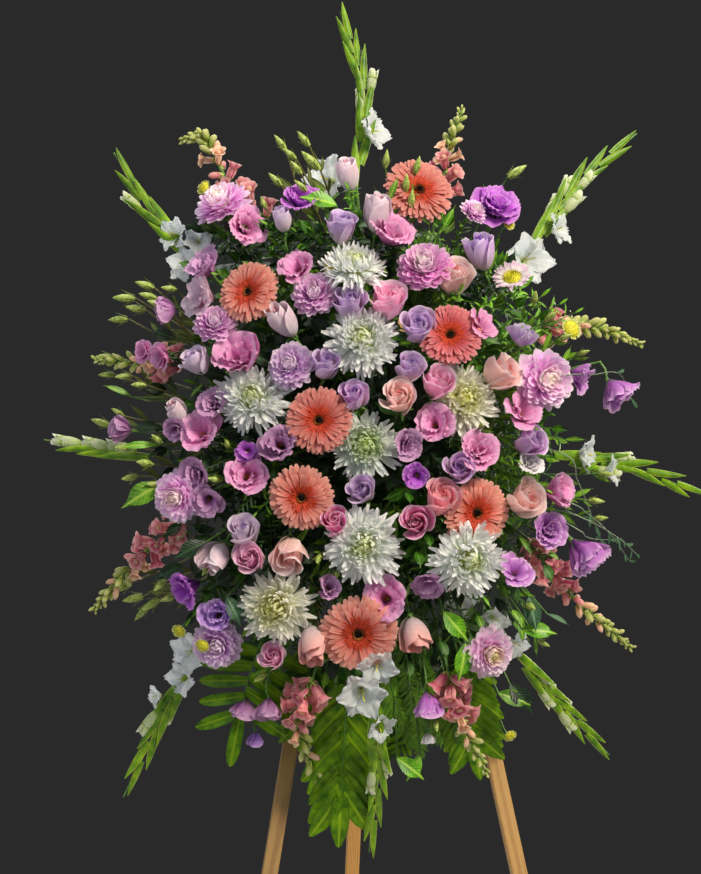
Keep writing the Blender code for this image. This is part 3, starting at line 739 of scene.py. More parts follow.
@dataclass
class Assembly:
    """Collects copies of blades and joins them into one mesh."""

    name: str
    dice: random.Random
    parts: list[Object] = field(default_factory=list)

    def add(self, mesh: Mesh, matrix: Matrix, tone: float = 1.0, ring: float = 1.0) -> None:
        """Adds a copy of a mesh.

        Args:
            mesh: The mesh.
            matrix: Its place.
            tone: How light it is.
            ring: Its place from the bloom's middle, 0, to its outside, 1.
        """
        copy = mesh.copy()
        copy.transform(matrix)
        paint_values(copy, tone=tone, ring=ring)
        self.parts.append(linked(self.name, copy))

    def add_petal(
        self, mesh: Mesh, turn: float, rise: float, base: float = 0.0, height: float = 0.0,
        size: float = 1.0, roll: float = 0.0, tone: float = 1.0, ring: float = 1.0, start: float = 0.0,
    ) -> None:
        """Adds a petal round the bloom's axis.

        Args:
            mesh: The petal.
            turn: Its direction round the axis, in radians.
            rise: How far it stands up, in degrees.
            base: The distance of its foot from the axis.
            height: The height of its foot.
            size: Its scale.
            roll: Its turn about its own spine, in degrees.
            tone: How light it is.
            ring: Its place from the bloom's middle, 0, to its outside, 1.
            start: How far its foot has moved along its own spine.
        """
        place = Matrix.Rotation(turn, 4, "Z") @ Matrix.Translation((0, base, height))
        pose = Matrix.Rotation(math.radians(rise), 4, "X") @ Matrix.Translation((0, start, 0))
        pose = pose @ Matrix.Rotation(math.radians(roll), 4, "Y") @ Matrix.Scale(size, 4)
        self.add(mesh, place @ pose, tone, ring)

    def add_calyx(
        self, sepal: Mesh, count: int, rise: float, base: float, height: float, start: float = 0.0,
        disorder: float = 0.0,
    ) -> None:
        """Adds an even ring of sepals.

        Args:
            sepal: The sepal.
            count: How many there are.
            rise: How far they stand up, in degrees.
            base: The distance of their feet from the axis.
            height: The height of their feet.
            start: The first one's direction, in radians.
            disorder: How far their rise strays, in degrees.
        """
        for i in range(count):
            stray = self.vary(disorder) if disorder else 0.0
            self.add_petal(sepal, start + i / count * TURN, rise + stray, base, height)

    def add_ball(self, radius: float, height: float, flat: float, finish: Finish) -> None:
        """Adds a round core that closes the view between florets.

        Args:
            radius: Its radius.
            height: The height of its middle.
            flat: Its depth as a share of its width.
            finish: Its finish.
        """
        fineness = 2 if radius > 0.22 else 1
        ball = primitive(bpy.ops.mesh.primitive_ico_sphere_add, subdivisions=fineness, radius=radius)
        ball.shade_smooth()
        ball.materials.append(finish.material())
        self.add(ball, Matrix.Translation((0, 0, height)) @ Matrix.Diagonal((1, 1, flat, 1)), 1.0, 0.0)

    def vary(self, spread: float) -> float:
        """A random number between minus and plus the spread."""
        return self.dice.uniform(-spread, spread)

    def mesh(self) -> Mesh:
        """Joins the parts and takes them out of the scene."""
        return lifted_out(joined(self.name, self.parts))


def tube(name: str, points: list[Vector], radii: list[float], finish: Finish, sides: int = 6) -> Object:
    """A round stem through points.

    Args:
        name: The object's name.
        points: The line's points.
        radii: Its radius at each of them.
        finish: The finish that dresses it.
        sides: How many sides it has.

    Returns:
        The stem, as a mesh object.
    """
    curve = bpy.data.curves.new(name, "CURVE")
    curve.dimensions = "3D"
    curve.bevel_depth = 1.0
    curve.bevel_resolution = (sides - 4) // 2
    curve.use_fill_caps = True
    spline = curve.splines.new("POLY")
    spline.points.add(len(points) - 1)
    for place, point, radius in zip(spline.points, points, radii):
        place.co = (*point, 1.0)
        place.radius = radius
    guide = linked(name, curve)
    deselect_all()
    guide.select_set(True)
    bpy.context.view_layer.objects.active = guide
    bpy.ops.object.convert(target="MESH")
    made = bpy.context.active_object
    made.data.shade_smooth()
    made.data.materials.clear()
    made.data.materials.append(finish.material())
    paint_values(made.data, tone=1.0, ring=1.0)
    return made


# The finishes of this spray ----------------------------------------------------------------------

STALK = StemFinish("flower_stalk", "#2f5a1a", "#5f8a34")
BUD_GREEN = StemFinish("green_bud", "#6c8a2a", "#b4c266")
OLIVE_STALK = StemFinish("olive_stalk", "#4c4a22", "#7a7638")
GREY_STALK = StemFinish("grey_green_stalk", "#566a52", "#8a9c80")

GERBERA = PetalFinish(
    "gerbera_salmon", "#e03e28", "#e2786a", "#eea696", "#e2452a", core_reach=0.3, veins=0.20,
    vein_count=5.0, base_end=0.56, tip_start=0.90, glow=0.35, rim="#f4b8a6", edge=0.6, slot="gerbera_petal",
)
GERBERA_RED = replace(
    GERBERA, name="gerbera_coral", base="#c42624", body="#cc4c52", tip="#da7a80", rim="#e69ca0",
)
# Copies of the salmon finish for the same flower: a darker one, painted shade, for the gerberas that the
# lights fall on most strongly, and a lighter one, painted light, for the lowest gerbera, where the light
# falls off.
GERBERA_PAINTED_SHADE = replace(GERBERA, name="gerbera_deep_salmon", body="#cf655a", tip="#d98a80", rim="#e2a296")
GERBERA_PAINTED_LIGHT = replace(GERBERA, name="gerbera_pale_salmon", body="#ea8274", tip="#f2aa9a", rim="#f8c0ae")
GERBERA_HEART = replace(
    GERBERA, name="gerbera_heart", base="#cc3018", body="#ee5636", tip="#f46e4c", core="#d04020",
    rim="#f68058",
)
EYE_BROWN = StemFinish("gerbera_eye", "#120a08", "#33180f", roughness=0.8, slot="gerbera_petal")
EYE_OLIVE = StemFinish("gerbera_eye_ring", "#8a3a14", "#d0862e", roughness=0.7, slot="gerbera_petal")

MUM_WHITE = PetalFinish(
    "mum_white", "#d6e0ac", "#edf2ea", "#f6f8f8", "#ccd870",
    core_reach=0.34, veins=0.06, vein_count=3.0, glow=0.45, slot="white_petal",
)
MUM_GREEN = replace(
    MUM_WHITE, name="mum_greenish", base="#d0e09e", body="#e6eede", tip="#eef4f0", core="#bcd266",
    core_reach=0.55,
)
MUM_CREAM = replace(
    MUM_WHITE, name="mum_cream", base="#e8e69a", body="#f4f4dc", tip="#fafaf0", core="#dcdc5c",
    core_reach=0.50,
)

DAHLIA_PINK = PetalFinish(
    "dahlia_pink_white", "#c85cbe", "#f4b0ee", "#fcdcfa", "#fffcee", core_reach=0.50, veins=0.10,
    vein_count=5.0, base_end=0.42, tip_start=0.88, glow=0.5, rim="#fff4fb", edge=0.85, slot="aster_petal",
)
DAHLIA_MAGENTA = replace(
    DAHLIA_PINK, name="dahlia_magenta", base="#a03ca6", body="#e08cd8", tip="#f6ccf2", core="#faf0f6",
    core_reach=0.38,
)
DAHLIA_ROSE = replace(
    DAHLIA_PINK, name="dahlia_rose", base="#b444ac", body="#f090dc", tip="#f8b4ee", core="#fffaf6",
    core_reach=0.56,
)
DAHLIA_PALE = replace(
    DAHLIA_PINK, name="dahlia_pale", base="#dc8cc4", body="#f8ccf0", tip="#fde6fa", core="#f2eeaa",
    core_reach=0.36,
)
DAHLIA_MAUVE = replace(
    DAHLIA_PINK, name="dahlia_mauve", base="#a050b8", body="#e2a8e8", tip="#f4dcfa", core="#fdf4fa",
    core_reach=0.40,
)

ROSE_LAVENDER = PetalFinish(
    "rose_lavender", "#efe4d2", "#e8cee0", "#d4b2e2", "#9460c0",
    core_reach=0.55, veins=0.06, base_end=0.34, tip_start=0.90, rim="#f0e2f8", edge=0.8, glow=0.40,
)
ROSE_DEEP = replace(
    ROSE_LAVENDER, name="rose_deep_lavender", base="#f4dce6", body="#efc4e6", tip="#d8a4de", core="#9656bc",
)
ROSE_WHITISH = replace(
    ROSE_LAVENDER, name="rose_pale_lavender", base="#efe8d4", body="#efe2e6", tip="#e4d0e6", core="#b890d0",
    core_reach=0.5,
)
ROSE_BLUSH = PetalFinish(
    "rose_blush", "#c0c4a8", "#d4c6cc", "#f0b8b0", "#e09c9c", core_reach=0.30, veins=0.05, base_end=0.3,
    tip_start=0.92, rim="#f0b0ac", edge=0.3, glow=0.30,
)
ROSE_SHELL = replace(
    ROSE_BLUSH, name="rose_shell", base="#c0c49c", body="#e4d8dc", tip="#ead0dc", core="#d8a8b4",
    rim="#f6ecf2",
)
ROSE_PEACH = PetalFinish(
    "rose_peach", "#f6ecd2", "#fadfd4", "#fbd6d2", "#f28e8c", core_reach=0.50, veins=0.05, base_end=0.3,
    tip_start=0.90, rim="#fff0f0", edge=0.8, glow=0.45,
)
ROSE_SALMON = replace(
    ROSE_PEACH, name="rose_salmon", base="#f4d0c0", body="#f6bcbe", tip="#f6b0c0", core="#e4707e",
    rim="#fbd6da",
)
ROSE_PINK = PetalFinish(
    "rose_pink", "#fce4ea", "#fcd0e6", "#fbc0e2", "#f08cc0", core_reach=0.34, veins=0.06, base_end=0.3,
    tip_start=0.90, rim="#ffe8f4", edge=0.8, glow=0.5,
)
ROSE_HOT = replace(
    ROSE_PINK, name="rose_hot_pink", base="#f09ec0", body="#ee88c0", tip="#f08cc4", core="#d4489a",
)

LISIANTHUS_PINK = PetalFinish(
    "lisianthus_pink", "#4a0a22", "#e684c4", "#f2a8da", "#5a1030", core_reach=0.12, veins=0.12,
    base_end=0.35, rim="#f4bce0", edge=0.25, glow=0.35, slot="lisianthus_petal",
)
LISIANTHUS_LIGHT = replace(
    LISIANTHUS_PINK, name="lisianthus_light_pink", base="#c48cb0", body="#f4d2e6", tip="#f8e0ee",
    rim="#f8def0",
)
LISIANTHUS_WHITE = replace(
    LISIANTHUS_PINK, name="lisianthus_white", base="#bccb8c", body="#f2f0ee", tip="#faf6f8", core="#a8b870",
    rim="#fdf8fc",
)
LISIANTHUS_MAUVE = replace(
    LISIANTHUS_PINK, name="lisianthus_mauve", base="#56225e", body="#c07ebc", tip="#d2a0ce", core="#5b264f",
    rim="#e2b4da",
)
LISIANTHUS_LILAC = replace(
    LISIANTHUS_PINK, name="lisianthus_lilac", base="#7444b0", body="#b07cdc", tip="#c89ae8", core="#5a3288",
    rim="#e0c0f2",
)
LISIANTHUS_LAVENDER = replace(
    LISIANTHUS_PINK, name="lisianthus_lavender", base="#b8b49c", body="#cfaee2", tip="#dfc4ec",
    core="#7444a0", rim="#f0e2f6",
)
LISIANTHUS_ORCHID = replace(
    LISIANTHUS_PINK, name="lisianthus_orchid", base="#5a1a78", body="#bc68ca", tip="#d08cda",
    core="#4a1860", rim="#ecc4ee",
)
LISIANTHUS_VIOLET = replace(
    LISIANTHUS_PINK, name="lisianthus_violet", base="#6a1a90", body="#b448cc", tip="#c866dc",
    core="#3a1060", rim="#dc9ce6",
)

GLADIOLUS_WHITE = PetalFinish(
    "gladiolus_white", "#ccd68e", "#e6ecec", "#eff4f6", "#dbe0aa", core_reach=0.1, veins=0.08,
    base_end=0.22, glow=0.5, slot="white_petal",
)
GLADIOLUS_BUD = replace(
    GLADIOLUS_WHITE, name="gladiolus_bud", base="#8cb044", body="#cfdc9e", tip="#f0f4dc",
)
# The bracts' pale edge colour is a painted highlight on their lit margins.
BRACT_GREEN = LeafFinish(
    "gladiolus_bract", "#37660a", "#84ac12", "#558a08", roughness=0.45, side_veins=0.0, edge="#b6ca50",
    slot="stem", gloss=0.35,
)
SNAP_CORAL = PetalFinish(
    "snapdragon_coral", "#dc7688", "#ee98a6", "#f6bab4", "#f0c0a0",
    core_reach=0.1, veins=0.10, glow=0.45, rim="#f6ccc4", edge=0.5, slot="snapdragon_petal",
)
SNAP_ROSE = replace(SNAP_CORAL, name="snapdragon_rose", base="#cc5678", body="#e47892", tip="#f0a2b0")
SNAP_PEACH = replace(
    SNAP_CORAL, name="snapdragon_peach", base="#d0a878", body="#f0c0a0", tip="#f4d8b4", core="#e8c87a",
)
SNAP_GREEN = replace(
    SNAP_CORAL, name="snapdragon_tip_bud", base="#6a9020", body="#a8bc48", tip="#e0e09a", core="#8aa034",
    rim="#e6e4ae",
)

# Near-black filler leaves: a dark green leaf made darker still, painted shade for the gaps between the
# flowers and under the lowest ones.
LEAF_DARK_PAINTED_SHADE = LeafFinish("leaf_deep_green", "#06170a", "#14380f", "#264f1e", glow=0.10)
LEAF_DUSK = LeafFinish("leaf_dusky_green", "#1a4406", "#3e7610", "#5c8e22", glow=0.15)
LEAF_MID = LeafFinish("leaf_mid_green", "#2c6206", "#6ea01c", "#a0be46")
LEAF_GREY = LeafFinish("leaf_grey_green", "#264a30", "#4c7852", "#7aa078", roughness=0.6)
LEAF_BRIGHT = LeafFinish("leaf_bright_green", "#347406", "#7abc1a", "#b4d850", roughness=0.4)
FERN_GREEN = LeafFinish("fern_green", "#123408", "#2a5a14", "#3c7020", roughness=0.55, side_veins=0.0)
FERN_LIGHT = LeafFinish("fern_light_green", "#356a0a", "#76ae24", "#9cc044", roughness=0.5, side_veins=0.0)
# The palm leaflets' dark edge colour is painted shade: it outlines each leaflet as if in the shadow of its
# neighbours.
PALM_BRIGHT = LeafFinish(
    "palm_bright_green", "#2e5a02", "#709c06", "#8cae1c", roughness=0.45, side_veins=0.0, edge="#3c6604",
    glow=0.25, gloss=0.2,
)
PALM_OLIVE = LeafFinish(
    "palm_olive_green", "#2e5804", "#64900a", "#7a9818", roughness=0.45, side_veins=0.0, edge="#365a06",
    glow=0.25, gloss=0.2,
)
OLIVE_LEAF = LeafFinish("leaf_olive", "#3c4a1a", "#6c7a34", "#8a9450", roughness=0.55)
YELLOW_BUTTON = StemFinish("aster_button", "#a8a010", "#d8d62c", roughness=0.7, slot="aster_petal")


# Where things are --------------------------------------------------------------------------------


@dataclass(frozen=True)
class SprayPlan:
    """The oval's front surface and the stems' places in the foam, worked out from the foam block."""

    foam_low: Vector
    foam_high: Vector
    centre_x: float = -0.03
    centre_drop: float = 0.014
    half_width: float = 0.46
    half_height: float = 0.62
    base_ahead: float = 0.051
    apex_behind: float = 0.119  # from the foam's middle back to the easel's apex
    bulge: float = 0.24
    stem_spread: float = 0.24  # how far apart stems end in the foam, against their heads
    stem_limits: tuple[float, float] = (0.096, 0.143)  # inside the block's sides
    lean: float = math.atan2(0.30, 1.39)  # the easel's front frame leans back this far

    @property
    def middle(self) -> Vector:
        """The middle of the foam block."""
        return (self.foam_low + self.foam_high) / 2

    def front(self, x: float, z: float, proud: float = 0.0) -> Vector:
        """The place on the oval's front surface.

        Args:
            x: Centimetres across from the spray's middle.
            z: Centimetres above the floor.
            proud: Centimetres ahead of the surface.

        Returns:
            The place in the frame.
        """
        across = (x * CM - self.centre_x) / self.half_width
        height = (z * CM - self.middle.z + self.centre_drop) / self.half_height
        swell = math.sqrt(max(1 - across**2 - height**2, 0.0))
        y = self.middle.y - self.base_ahead - self.bulge * swell - proud * CM
        return Vector((self.middle.x + x * CM, y, z * CM))

    def hung(self, places: tuple[Place, ...]) -> list[Vector]:
        """Points that don't follow the oval's surface.

        Args:
            places: For each, centimetres across, above the floor, and behind the easel's apex, so that
                those ahead of it count below 0.

        Returns:
            The points in the frame.
        """
        apex = self.middle.y + self.apex_behind
        return [Vector((self.middle.x + x * CM, apex + y * CM, z * CM)) for x, z, y in places]

    def stem_end(self, x: float, z: float) -> Vector:
        """Where a stem ends inside the foam.

        Args:
            x: Centimetres across of the flower that it bears.
            z: Centimetres above the floor of that flower.

        Returns:
            The place in the frame.
        """
        side, top = self.stem_limits
        across = max(min(x * CM * self.stem_spread, side), -side)
        height = (z * CM - self.middle.z + self.centre_drop) * self.stem_spread
        height = max(min(height, top), -top)
        shift = Vector((across, height * math.sin(self.lean), height * math.cos(self.lean)))
        return self.middle + shift


PLAN = SprayPlan(Vector(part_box("foam_block")[0]), Vector(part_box("foam_block")[1]))


@dataclass(frozen=True)
class Spot:
    """One flower's place in the plan."""

    x: float
    z: float
    radius: float
    right: float = 0.0  # extra turn of the face to the right, as a share of the way it faces
    up: float = 0.0
    proud: float = 0.0

    def head(self) -> Vector:
        """The place of the bloom's foot."""
        return PLAN.front(self.x, self.z, self.proud)

    def facing(self, dice: random.Random, outward: float = 0.34, wander: float = 0.1) -> Vector:
        """The way that the bloom faces.

        Args:
            dice: The source of disorder.
            outward: How far it faces along its own stem, against straight ahead.
            wander: How far the disorder turns it.

        Returns:
            A unit vector.
        """
        own = (self.head() - PLAN.stem_end(self.x, self.z)).normalized()
        way = own * outward + Vector((-0.06, -1, 0.02)) * (1 - outward)
        way += Vector((self.right, 0, self.up))
        way += Vector((dice.uniform(-wander, wander), 0, dice.uniform(-wander, wander)))
        return way.normalized()


# Flowers -----------------------------------------------------------------------------------------


class Flower:
    """A kind of round flower: builds a few unlike blooms, then plants copies of them."""

    kind = "flower"
    stalk_radius = 2.2 * MM
    variants = 2
    outward = 0.34
    lift = 0.0  # how far the kind looks up, beyond the way its place faces
    wander = 0.1
    neck_length = 0.035
    squash = ((0.95, 1.05), (0.95, 1.05), (0.92, 1.08))  # how far a bloom differs in width and depth

    def __init__(self) -> None:
        """Starts with no blooms built."""
        self.blooms: dict[tuple, tuple] = {}
        self.count = 0

    def fill(self, made: Assembly, finish: PetalFinish, seed: int) -> None:
        """Adds a bloom's petals, so that it faces +Z, in any scale."""
        raise NotImplementedError

    def pattern(self, finish: PetalFinish, seed: int) -> tuple[Mesh, float]:
        """The bloom of this finish and seed, built once.

        Args:
            finish: The petals' finish.
            seed: The variant's number.

        Returns:
            The mesh, brought to a radius of 1, and how far below its middle the calyx ends.
        """
        key = (finish.name, seed)
        if key not in self.blooms:
            made = Assembly(self.kind, random.Random(f"{self.kind}{finish.name}{seed}"))
            self.fill(made, finish, seed)
            mesh = made.mesh()
            x, y, z = places_of(mesh).T
            reach = float(np.percentile(np.hypot(x, y), 97))
            mesh.transform(Matrix.Scale(1 / reach, 4))
            self.blooms[key] = (mesh, -float(z.min()) / reach)
        return self.blooms[key]

    def plant(self, spot: Spot, finish: PetalFinish, node: str | None = None) -> None:
        """Plants one flower on its stem.

        Args:
            spot: Its place.
            finish: The petals' finish.
            node: The CAD node that it stands for, if there is one.
        """
        self.count += 1
        dice = random.Random(f"{self.kind}{self.count}")
        mesh, depth = self.pattern(finish, self.count % self.variants)
        copy = mesh.copy()
        facing = replace(spot, up=spot.up + self.lift).facing(dice, self.outward, self.wander)
        squash = [dice.uniform(low, high) for low, high in self.squash]
        size = spot.radius * CM
        pose = aim(spot.head(), facing, dice.uniform(0, TURN))
        copy.transform(pose @ Matrix.Diagonal((*squash, 1)) @ Matrix.Scale(size, 4))
        shift_values(copy, "tone", dice.uniform(-0.06, 0.04))
        head = linked(self.kind, copy)
        stalk = self.stalk(spot, spot.head() - facing * (depth - 0.05) * size, facing)
        settle(f"{self.kind}_flower_{self.count}", [head, stalk], node)

    def stalk(self, spot: Spot, calyx: Vector, facing: Vector) -> Object:
        """The stem from the foam to the calyx, which turns towards the bloom's face at its neck.

        Args:
            spot: The flower's place.
            calyx: The place of its calyx.
            facing: The way that its bloom faces.

        Returns:
            The stem.
        """
        foot = PLAN.stem_end(spot.x, spot.z)
        neck = calyx - facing * self.neck_length
        line = smooth_line([foot, foot.lerp(neck, 0.5), neck, calyx + facing * 0.002], 8)
        return tube("stalk", line, [self.stalk_radius] * len(line), STALK)


class Gerbera(Flower):
    """Gerbera: rows of strap petals, a ring of short red ones, and a small dark eye in a golden ring."""

    kind = "gerbera"
    stalk_radius = 3.0 * MM
    variants = 3
    rows = ((38, 5, 1.0, 0.0), (36, 12, 0.95, 0.025), (30, 19, 0.72, 0.045))  # count, rise, size, height
    short_rows = ((54, 0.19, 17), (50, 0.17, 25), (44, 0.155, 34), (36, 0.14, 46))  # count, foot, rise
    ring_florets = 56
    eye_florets = 40
    eye_radius = 0.095

    def fill(self, made: Assembly, finish: PetalFinish, seed: int) -> None:
        """Adds a gerbera's petals.

        Args:
            made: The bloom.
            finish: The petals' finish.
            seed: The variant's number.
        """
        strap = Blade(
            0.84, 0.180, (0.45, 0.78, 0.97, 1.0, 0.80), 4, 9, cup=20, round_tip=0.12, notch=0.015, groove=0.05
        )
        straps = [
            replace(strap, curl=c, cup=k, length=n).mesh("strap", finish)
            for c, k, n in ((-16, 18, 0.84), (-8, 28, 0.83), (-23, 12, 0.855), (-12, 36, 0.835))
        ]
        for row, (count, rise, reach, height) in enumerate(self.rows):
            for i in range(count):
                made.add_petal(
                    made.dice.choice(straps), (i + made.vary(0.28) + 0.5 * row) / count * TURN,
                    rise + made.vary(3), 0.16, height, reach * (1 + made.vary(0.03)), made.vary(9),
                    1.0 + made.vary(0.10),
                )
        short = Blade(0.34, 0.070, (0.6, 0.9, 1.0, 0.8, 0.3), 2, 4, curl=-16, cup=40)
        short_strap = short.mesh("short_strap", GERBERA_HEART)
        for row, (count, foot, rise) in enumerate(self.short_rows):
            for i in range(count):
                made.add_petal(
                    short_strap, (i + made.vary(0.3) + 0.5 * row) / count * TURN, rise + made.vary(6), foot,
                    0.06, 1 - 0.20 * row + made.vary(0.15), made.vary(15), 0.95 + made.vary(0.14), 0.06 * row,
                )
        made.add_ball(0.13, 0.03, 0.35, EYE_BROWN)
        floret = Blade(0.070, 0.042, (0.8, 1.0, 0.8, 0.2), 2, 3, curl=30, cup=70)
        ring = floret.mesh("ring_floret", EYE_OLIVE)
        for i in range(self.ring_florets):
            made.add_petal(
                ring, i / self.ring_florets * 2 * TURN, 58 + made.vary(8), 0.105 + 0.02 * (i % 2), 0.07,
                1.1 + made.vary(0.15), 0, 1.0 + made.vary(0.1), 0.1,
            )
        eye = replace(floret, length=0.055, width=0.04).mesh("eye_floret", EYE_BROWN)
        for i in range(self.eye_florets):
            radius = self.eye_radius * math.sqrt((i + 0.5) / self.eye_florets)
            made.add_petal(eye, i * GOLDEN_ANGLE, 84 - 160 * radius, radius, 0.065, ring=0.0)
        sepal = Blade(0.22, 0.09, (1.0, 0.9, 0.7, 0.2), 2, 4, curl=25, cup=30).mesh("sepal", STALK)
        made.add_calyx(sepal, 16, -28, 0.05, -0.10)


class Chrysanthemum(Flower):
    """Large white chrysanthemum: a full dome of blunt petals, curved in at the green core, loose outside."""

    kind = "chrysanthemum"
    stalk_radius = 2.8 * MM
    variants = 3
    petals = 300
    wander = 0.15
    lift = 0.12

    def fill(self, made: Assembly, finish: PetalFinish, seed: int) -> None:
        """Adds a chrysanthemum's petals.

        Args:
            made: The bloom.
            finish: The petals' finish.
            seed: The variant's number.
        """
        quill = Blade(1.0, 0.20, (0.42, 0.72, 0.94, 1.0, 0.94), 3, 7, cup=44, cup_tip=30, round_tip=0.34)
        core = replace(quill, width=0.27, cup=60)
        inner = [replace(core, curl=c).mesh("core_quill", finish) for c in (80, 105, 130)]
        quill = replace(quill, curl_power=1.3, width=0.215)
        middle = [replace(quill, curl=c).mesh("quill", finish) for c in (92, 70, 112, 50)]
        outer_forms = (
            (44, 20, 0.20), (-18, -24, 0.18), (62, 30, 0.22), (-42, 0, 0.165), (14, 60, 0.21), (30, -40, 0.19)
        )
        outer = [
            replace(quill, curl=c, curl_power=1.6, lip=p, lip_power=3, width=w).mesh("outer_quill", finish)
            for c, p, w in outer_forms
        ]
        made.add_ball(0.28, -0.02, 0.8, finish)
        for i in range(self.petals):
            share = (i + 0.5) / self.petals
            polar = 5 + 100 * share**0.60
            size = 0.20 + 0.55 * max(share - 0.06, 0) ** 0.85
            shapes = inner if share < 0.26 else middle if share < 0.64 else outer
            made.add_petal(
                made.dice.choice(shapes), i * GOLDEN_ANGLE + made.vary(0.16), 90 - polar + made.vary(9),
                size=size * (1 + made.vary(0.15)), roll=made.vary(26), tone=1.0 + made.vary(0.06), ring=share,
                start=0.21,
            )
        sepal = Blade(0.30, 0.2, (1.0, 0.9, 0.6, 0.1), 2, 4, curl=35, cup=30).mesh("sepal", STALK)
        made.add_calyx(sepal, 10, -30, 0.02, -0.30)


class DahliaMum(Flower):
    """Decorative chrysanthemum: a ball of broad scooped petals with pale rims, whitish in the middle."""

    kind = "dahlia_mum"
    variants = 3
    petals = 124
    wander = 0.25
    lift = 0.42

    def fill(self, made: Assembly, finish: PetalFinish, seed: int) -> None:
        """Adds a decorative chrysanthemum's petals.

        Args:
            made: The bloom.
            finish: The petals' finish.
            seed: The variant's number.
        """
        spoon = Blade(1.0, 0.56, (0.42, 0.80, 0.98, 1.0, 0.96), 5, 6, cup=52, cup_tip=20, round_tip=0.30)
        inner = [replace(spoon, curl=c, width=0.46, cup=48).mesh("core_spoon", finish) for c in (46, 66)]
        outer = [
            replace(spoon, curl=c, lip=-16, lip_power=4, width=w).mesh("spoon", finish, s)
            for s, (c, w) in enumerate(((52, 0.56), (38, 0.50), (26, 0.60), (46, 0.48)))
        ]
        made.add_ball(0.30, -0.02, 0.8, finish)
        for i in range(self.petals):
            share = (i + 0.5) / self.petals
            made.add_petal(
                made.dice.choice(inner if share < 0.34 else outer), i * GOLDEN_ANGLE + made.vary(0.08),
                88 - 106 * share**0.66 + made.vary(5),
                size=(0.17 + 0.44 * share**0.6) * (1 + made.vary(0.08)), roll=made.vary(14),
                tone=1.0 + made.vary(0.09), ring=share, start=0.27,
            )
        sepal = Blade(0.34, 0.22, (1.0, 0.9, 0.6, 0.1), 2, 4, curl=35, cup=30).mesh("sepal", STALK)
        made.add_calyx(sepal, 9, -30, 0.02, -0.36)


class RoseForm(Enum):
    """How far a rose has opened."""

    OPEN = "open"
    BUD = "bud"


@dataclass(frozen=True)
class RoseRing:
    """One ring of a rose's petals, as shares of the bloom's radius and degrees."""

    count: int
    rise: float
    curl: float
    lip: float
    length: float
    width: float
    cup: float
    cup_tip: float


class Rose(Flower):
    """Goblet rose: a tight spiral inside large smooth petals, whose rims roll out, on paler sides."""

    kind = "rose"
    variants = 4
    lift = 0.62
    wander = 0.26
    form = RoseForm.OPEN
    foot = -0.92  # how far below the middle the petals start
    rings = {
        RoseForm.OPEN: (
            RoseRing(2, 86, 6, 0, 1.50, 0.40, 165, 150),
            RoseRing(3, 79, 15, 0, 1.56, 0.62, 120, 112),
            RoseRing(3, 71, 24, -6, 1.60, 0.86, 98, 92),
            RoseRing(3, 63, 32, -14, 1.66, 1.10, 86, 80),
            RoseRing(3, 55, 40, -28, 1.72, 1.34, 78, 70),
            RoseRing(3, 46, 48, -52, 1.80, 1.56, 70, 58),
            RoseRing(3, 38, 55, -80, 1.70, 1.66, 64, 48),
        ),
        RoseForm.BUD: (
            RoseRing(3, 78, 14, 0, 1.90, 0.50, 140, 130),
            RoseRing(3, 54, 44, -4, 2.00, 1.06, 88, 82),
            RoseRing(3, 38, 66, -10, 2.04, 1.42, 76, 70),
            RoseRing(2, 25, 80, -30, 1.96, 1.62, 70, 60),
        ),
    }

    def fill(self, made: Assembly, finish: PetalFinish, seed: int) -> None:
        """Adds a rose's petals.

        Args:
            made: The bloom.
            finish: The petals' finish.
            seed: The variant's number.
        """
        start = made.dice.uniform(0, 6)
        rings = self.rings[self.form]
        for number, ring in enumerate(rings):
            share = number / (len(rings) - 1)
            petal = Blade(
                ring.length, ring.width, (0.35, 0.86, 1.0, 1.0, 0.74), 8, 10, curl=ring.curl,
                curl_power=0.7, lip=ring.lip, lip_power=8, cup=ring.cup, cup_tip=ring.cup_tip,
                round_tip=0.10, ruffle=0.03 * share, waves=2,
            )
            shapes = [petal.mesh("rose_petal", finish, s) for s in range(2)]
            for i in range(ring.count):
                shape = made.dice.choice(shapes)
                turn = start + number * 1.1 + (i + made.vary(0.10)) / ring.count * TURN
                made.add_petal(
                    shape, turn, ring.rise + made.vary(2 + 2 * share), 0.05 + 0.03 * share, self.foot,
                    1 + made.vary(0.03), 7 + made.vary(5), 1.0 + made.vary(0.05), share,
                )
        sepal = Blade(0.62, 0.24, (0.9, 1.0, 0.7, 0.1), 2, 5, curl=-50, cup=40).mesh("sepal", STALK)
        made.add_calyx(sepal, 5, 38, 0.10, self.foot - 0.03, disorder=15)
        made.add_ball(0.20, self.foot - 0.05, 1.1, STALK)


class RoseBud(Rose):
    """A rose that has barely opened, seen from its side."""

    kind = "rose_bud"
    form = RoseForm.BUD
    lift = 0.0


@dataclass(frozen=True)
class BellForm:
    """How a lisianthus stands open: its petals' rise, curl and lip, in degrees, and its inner rings."""

    rise: float
    curl: float
    lip: float
    inner_rise: float
    inner_curl: float
    cores: int


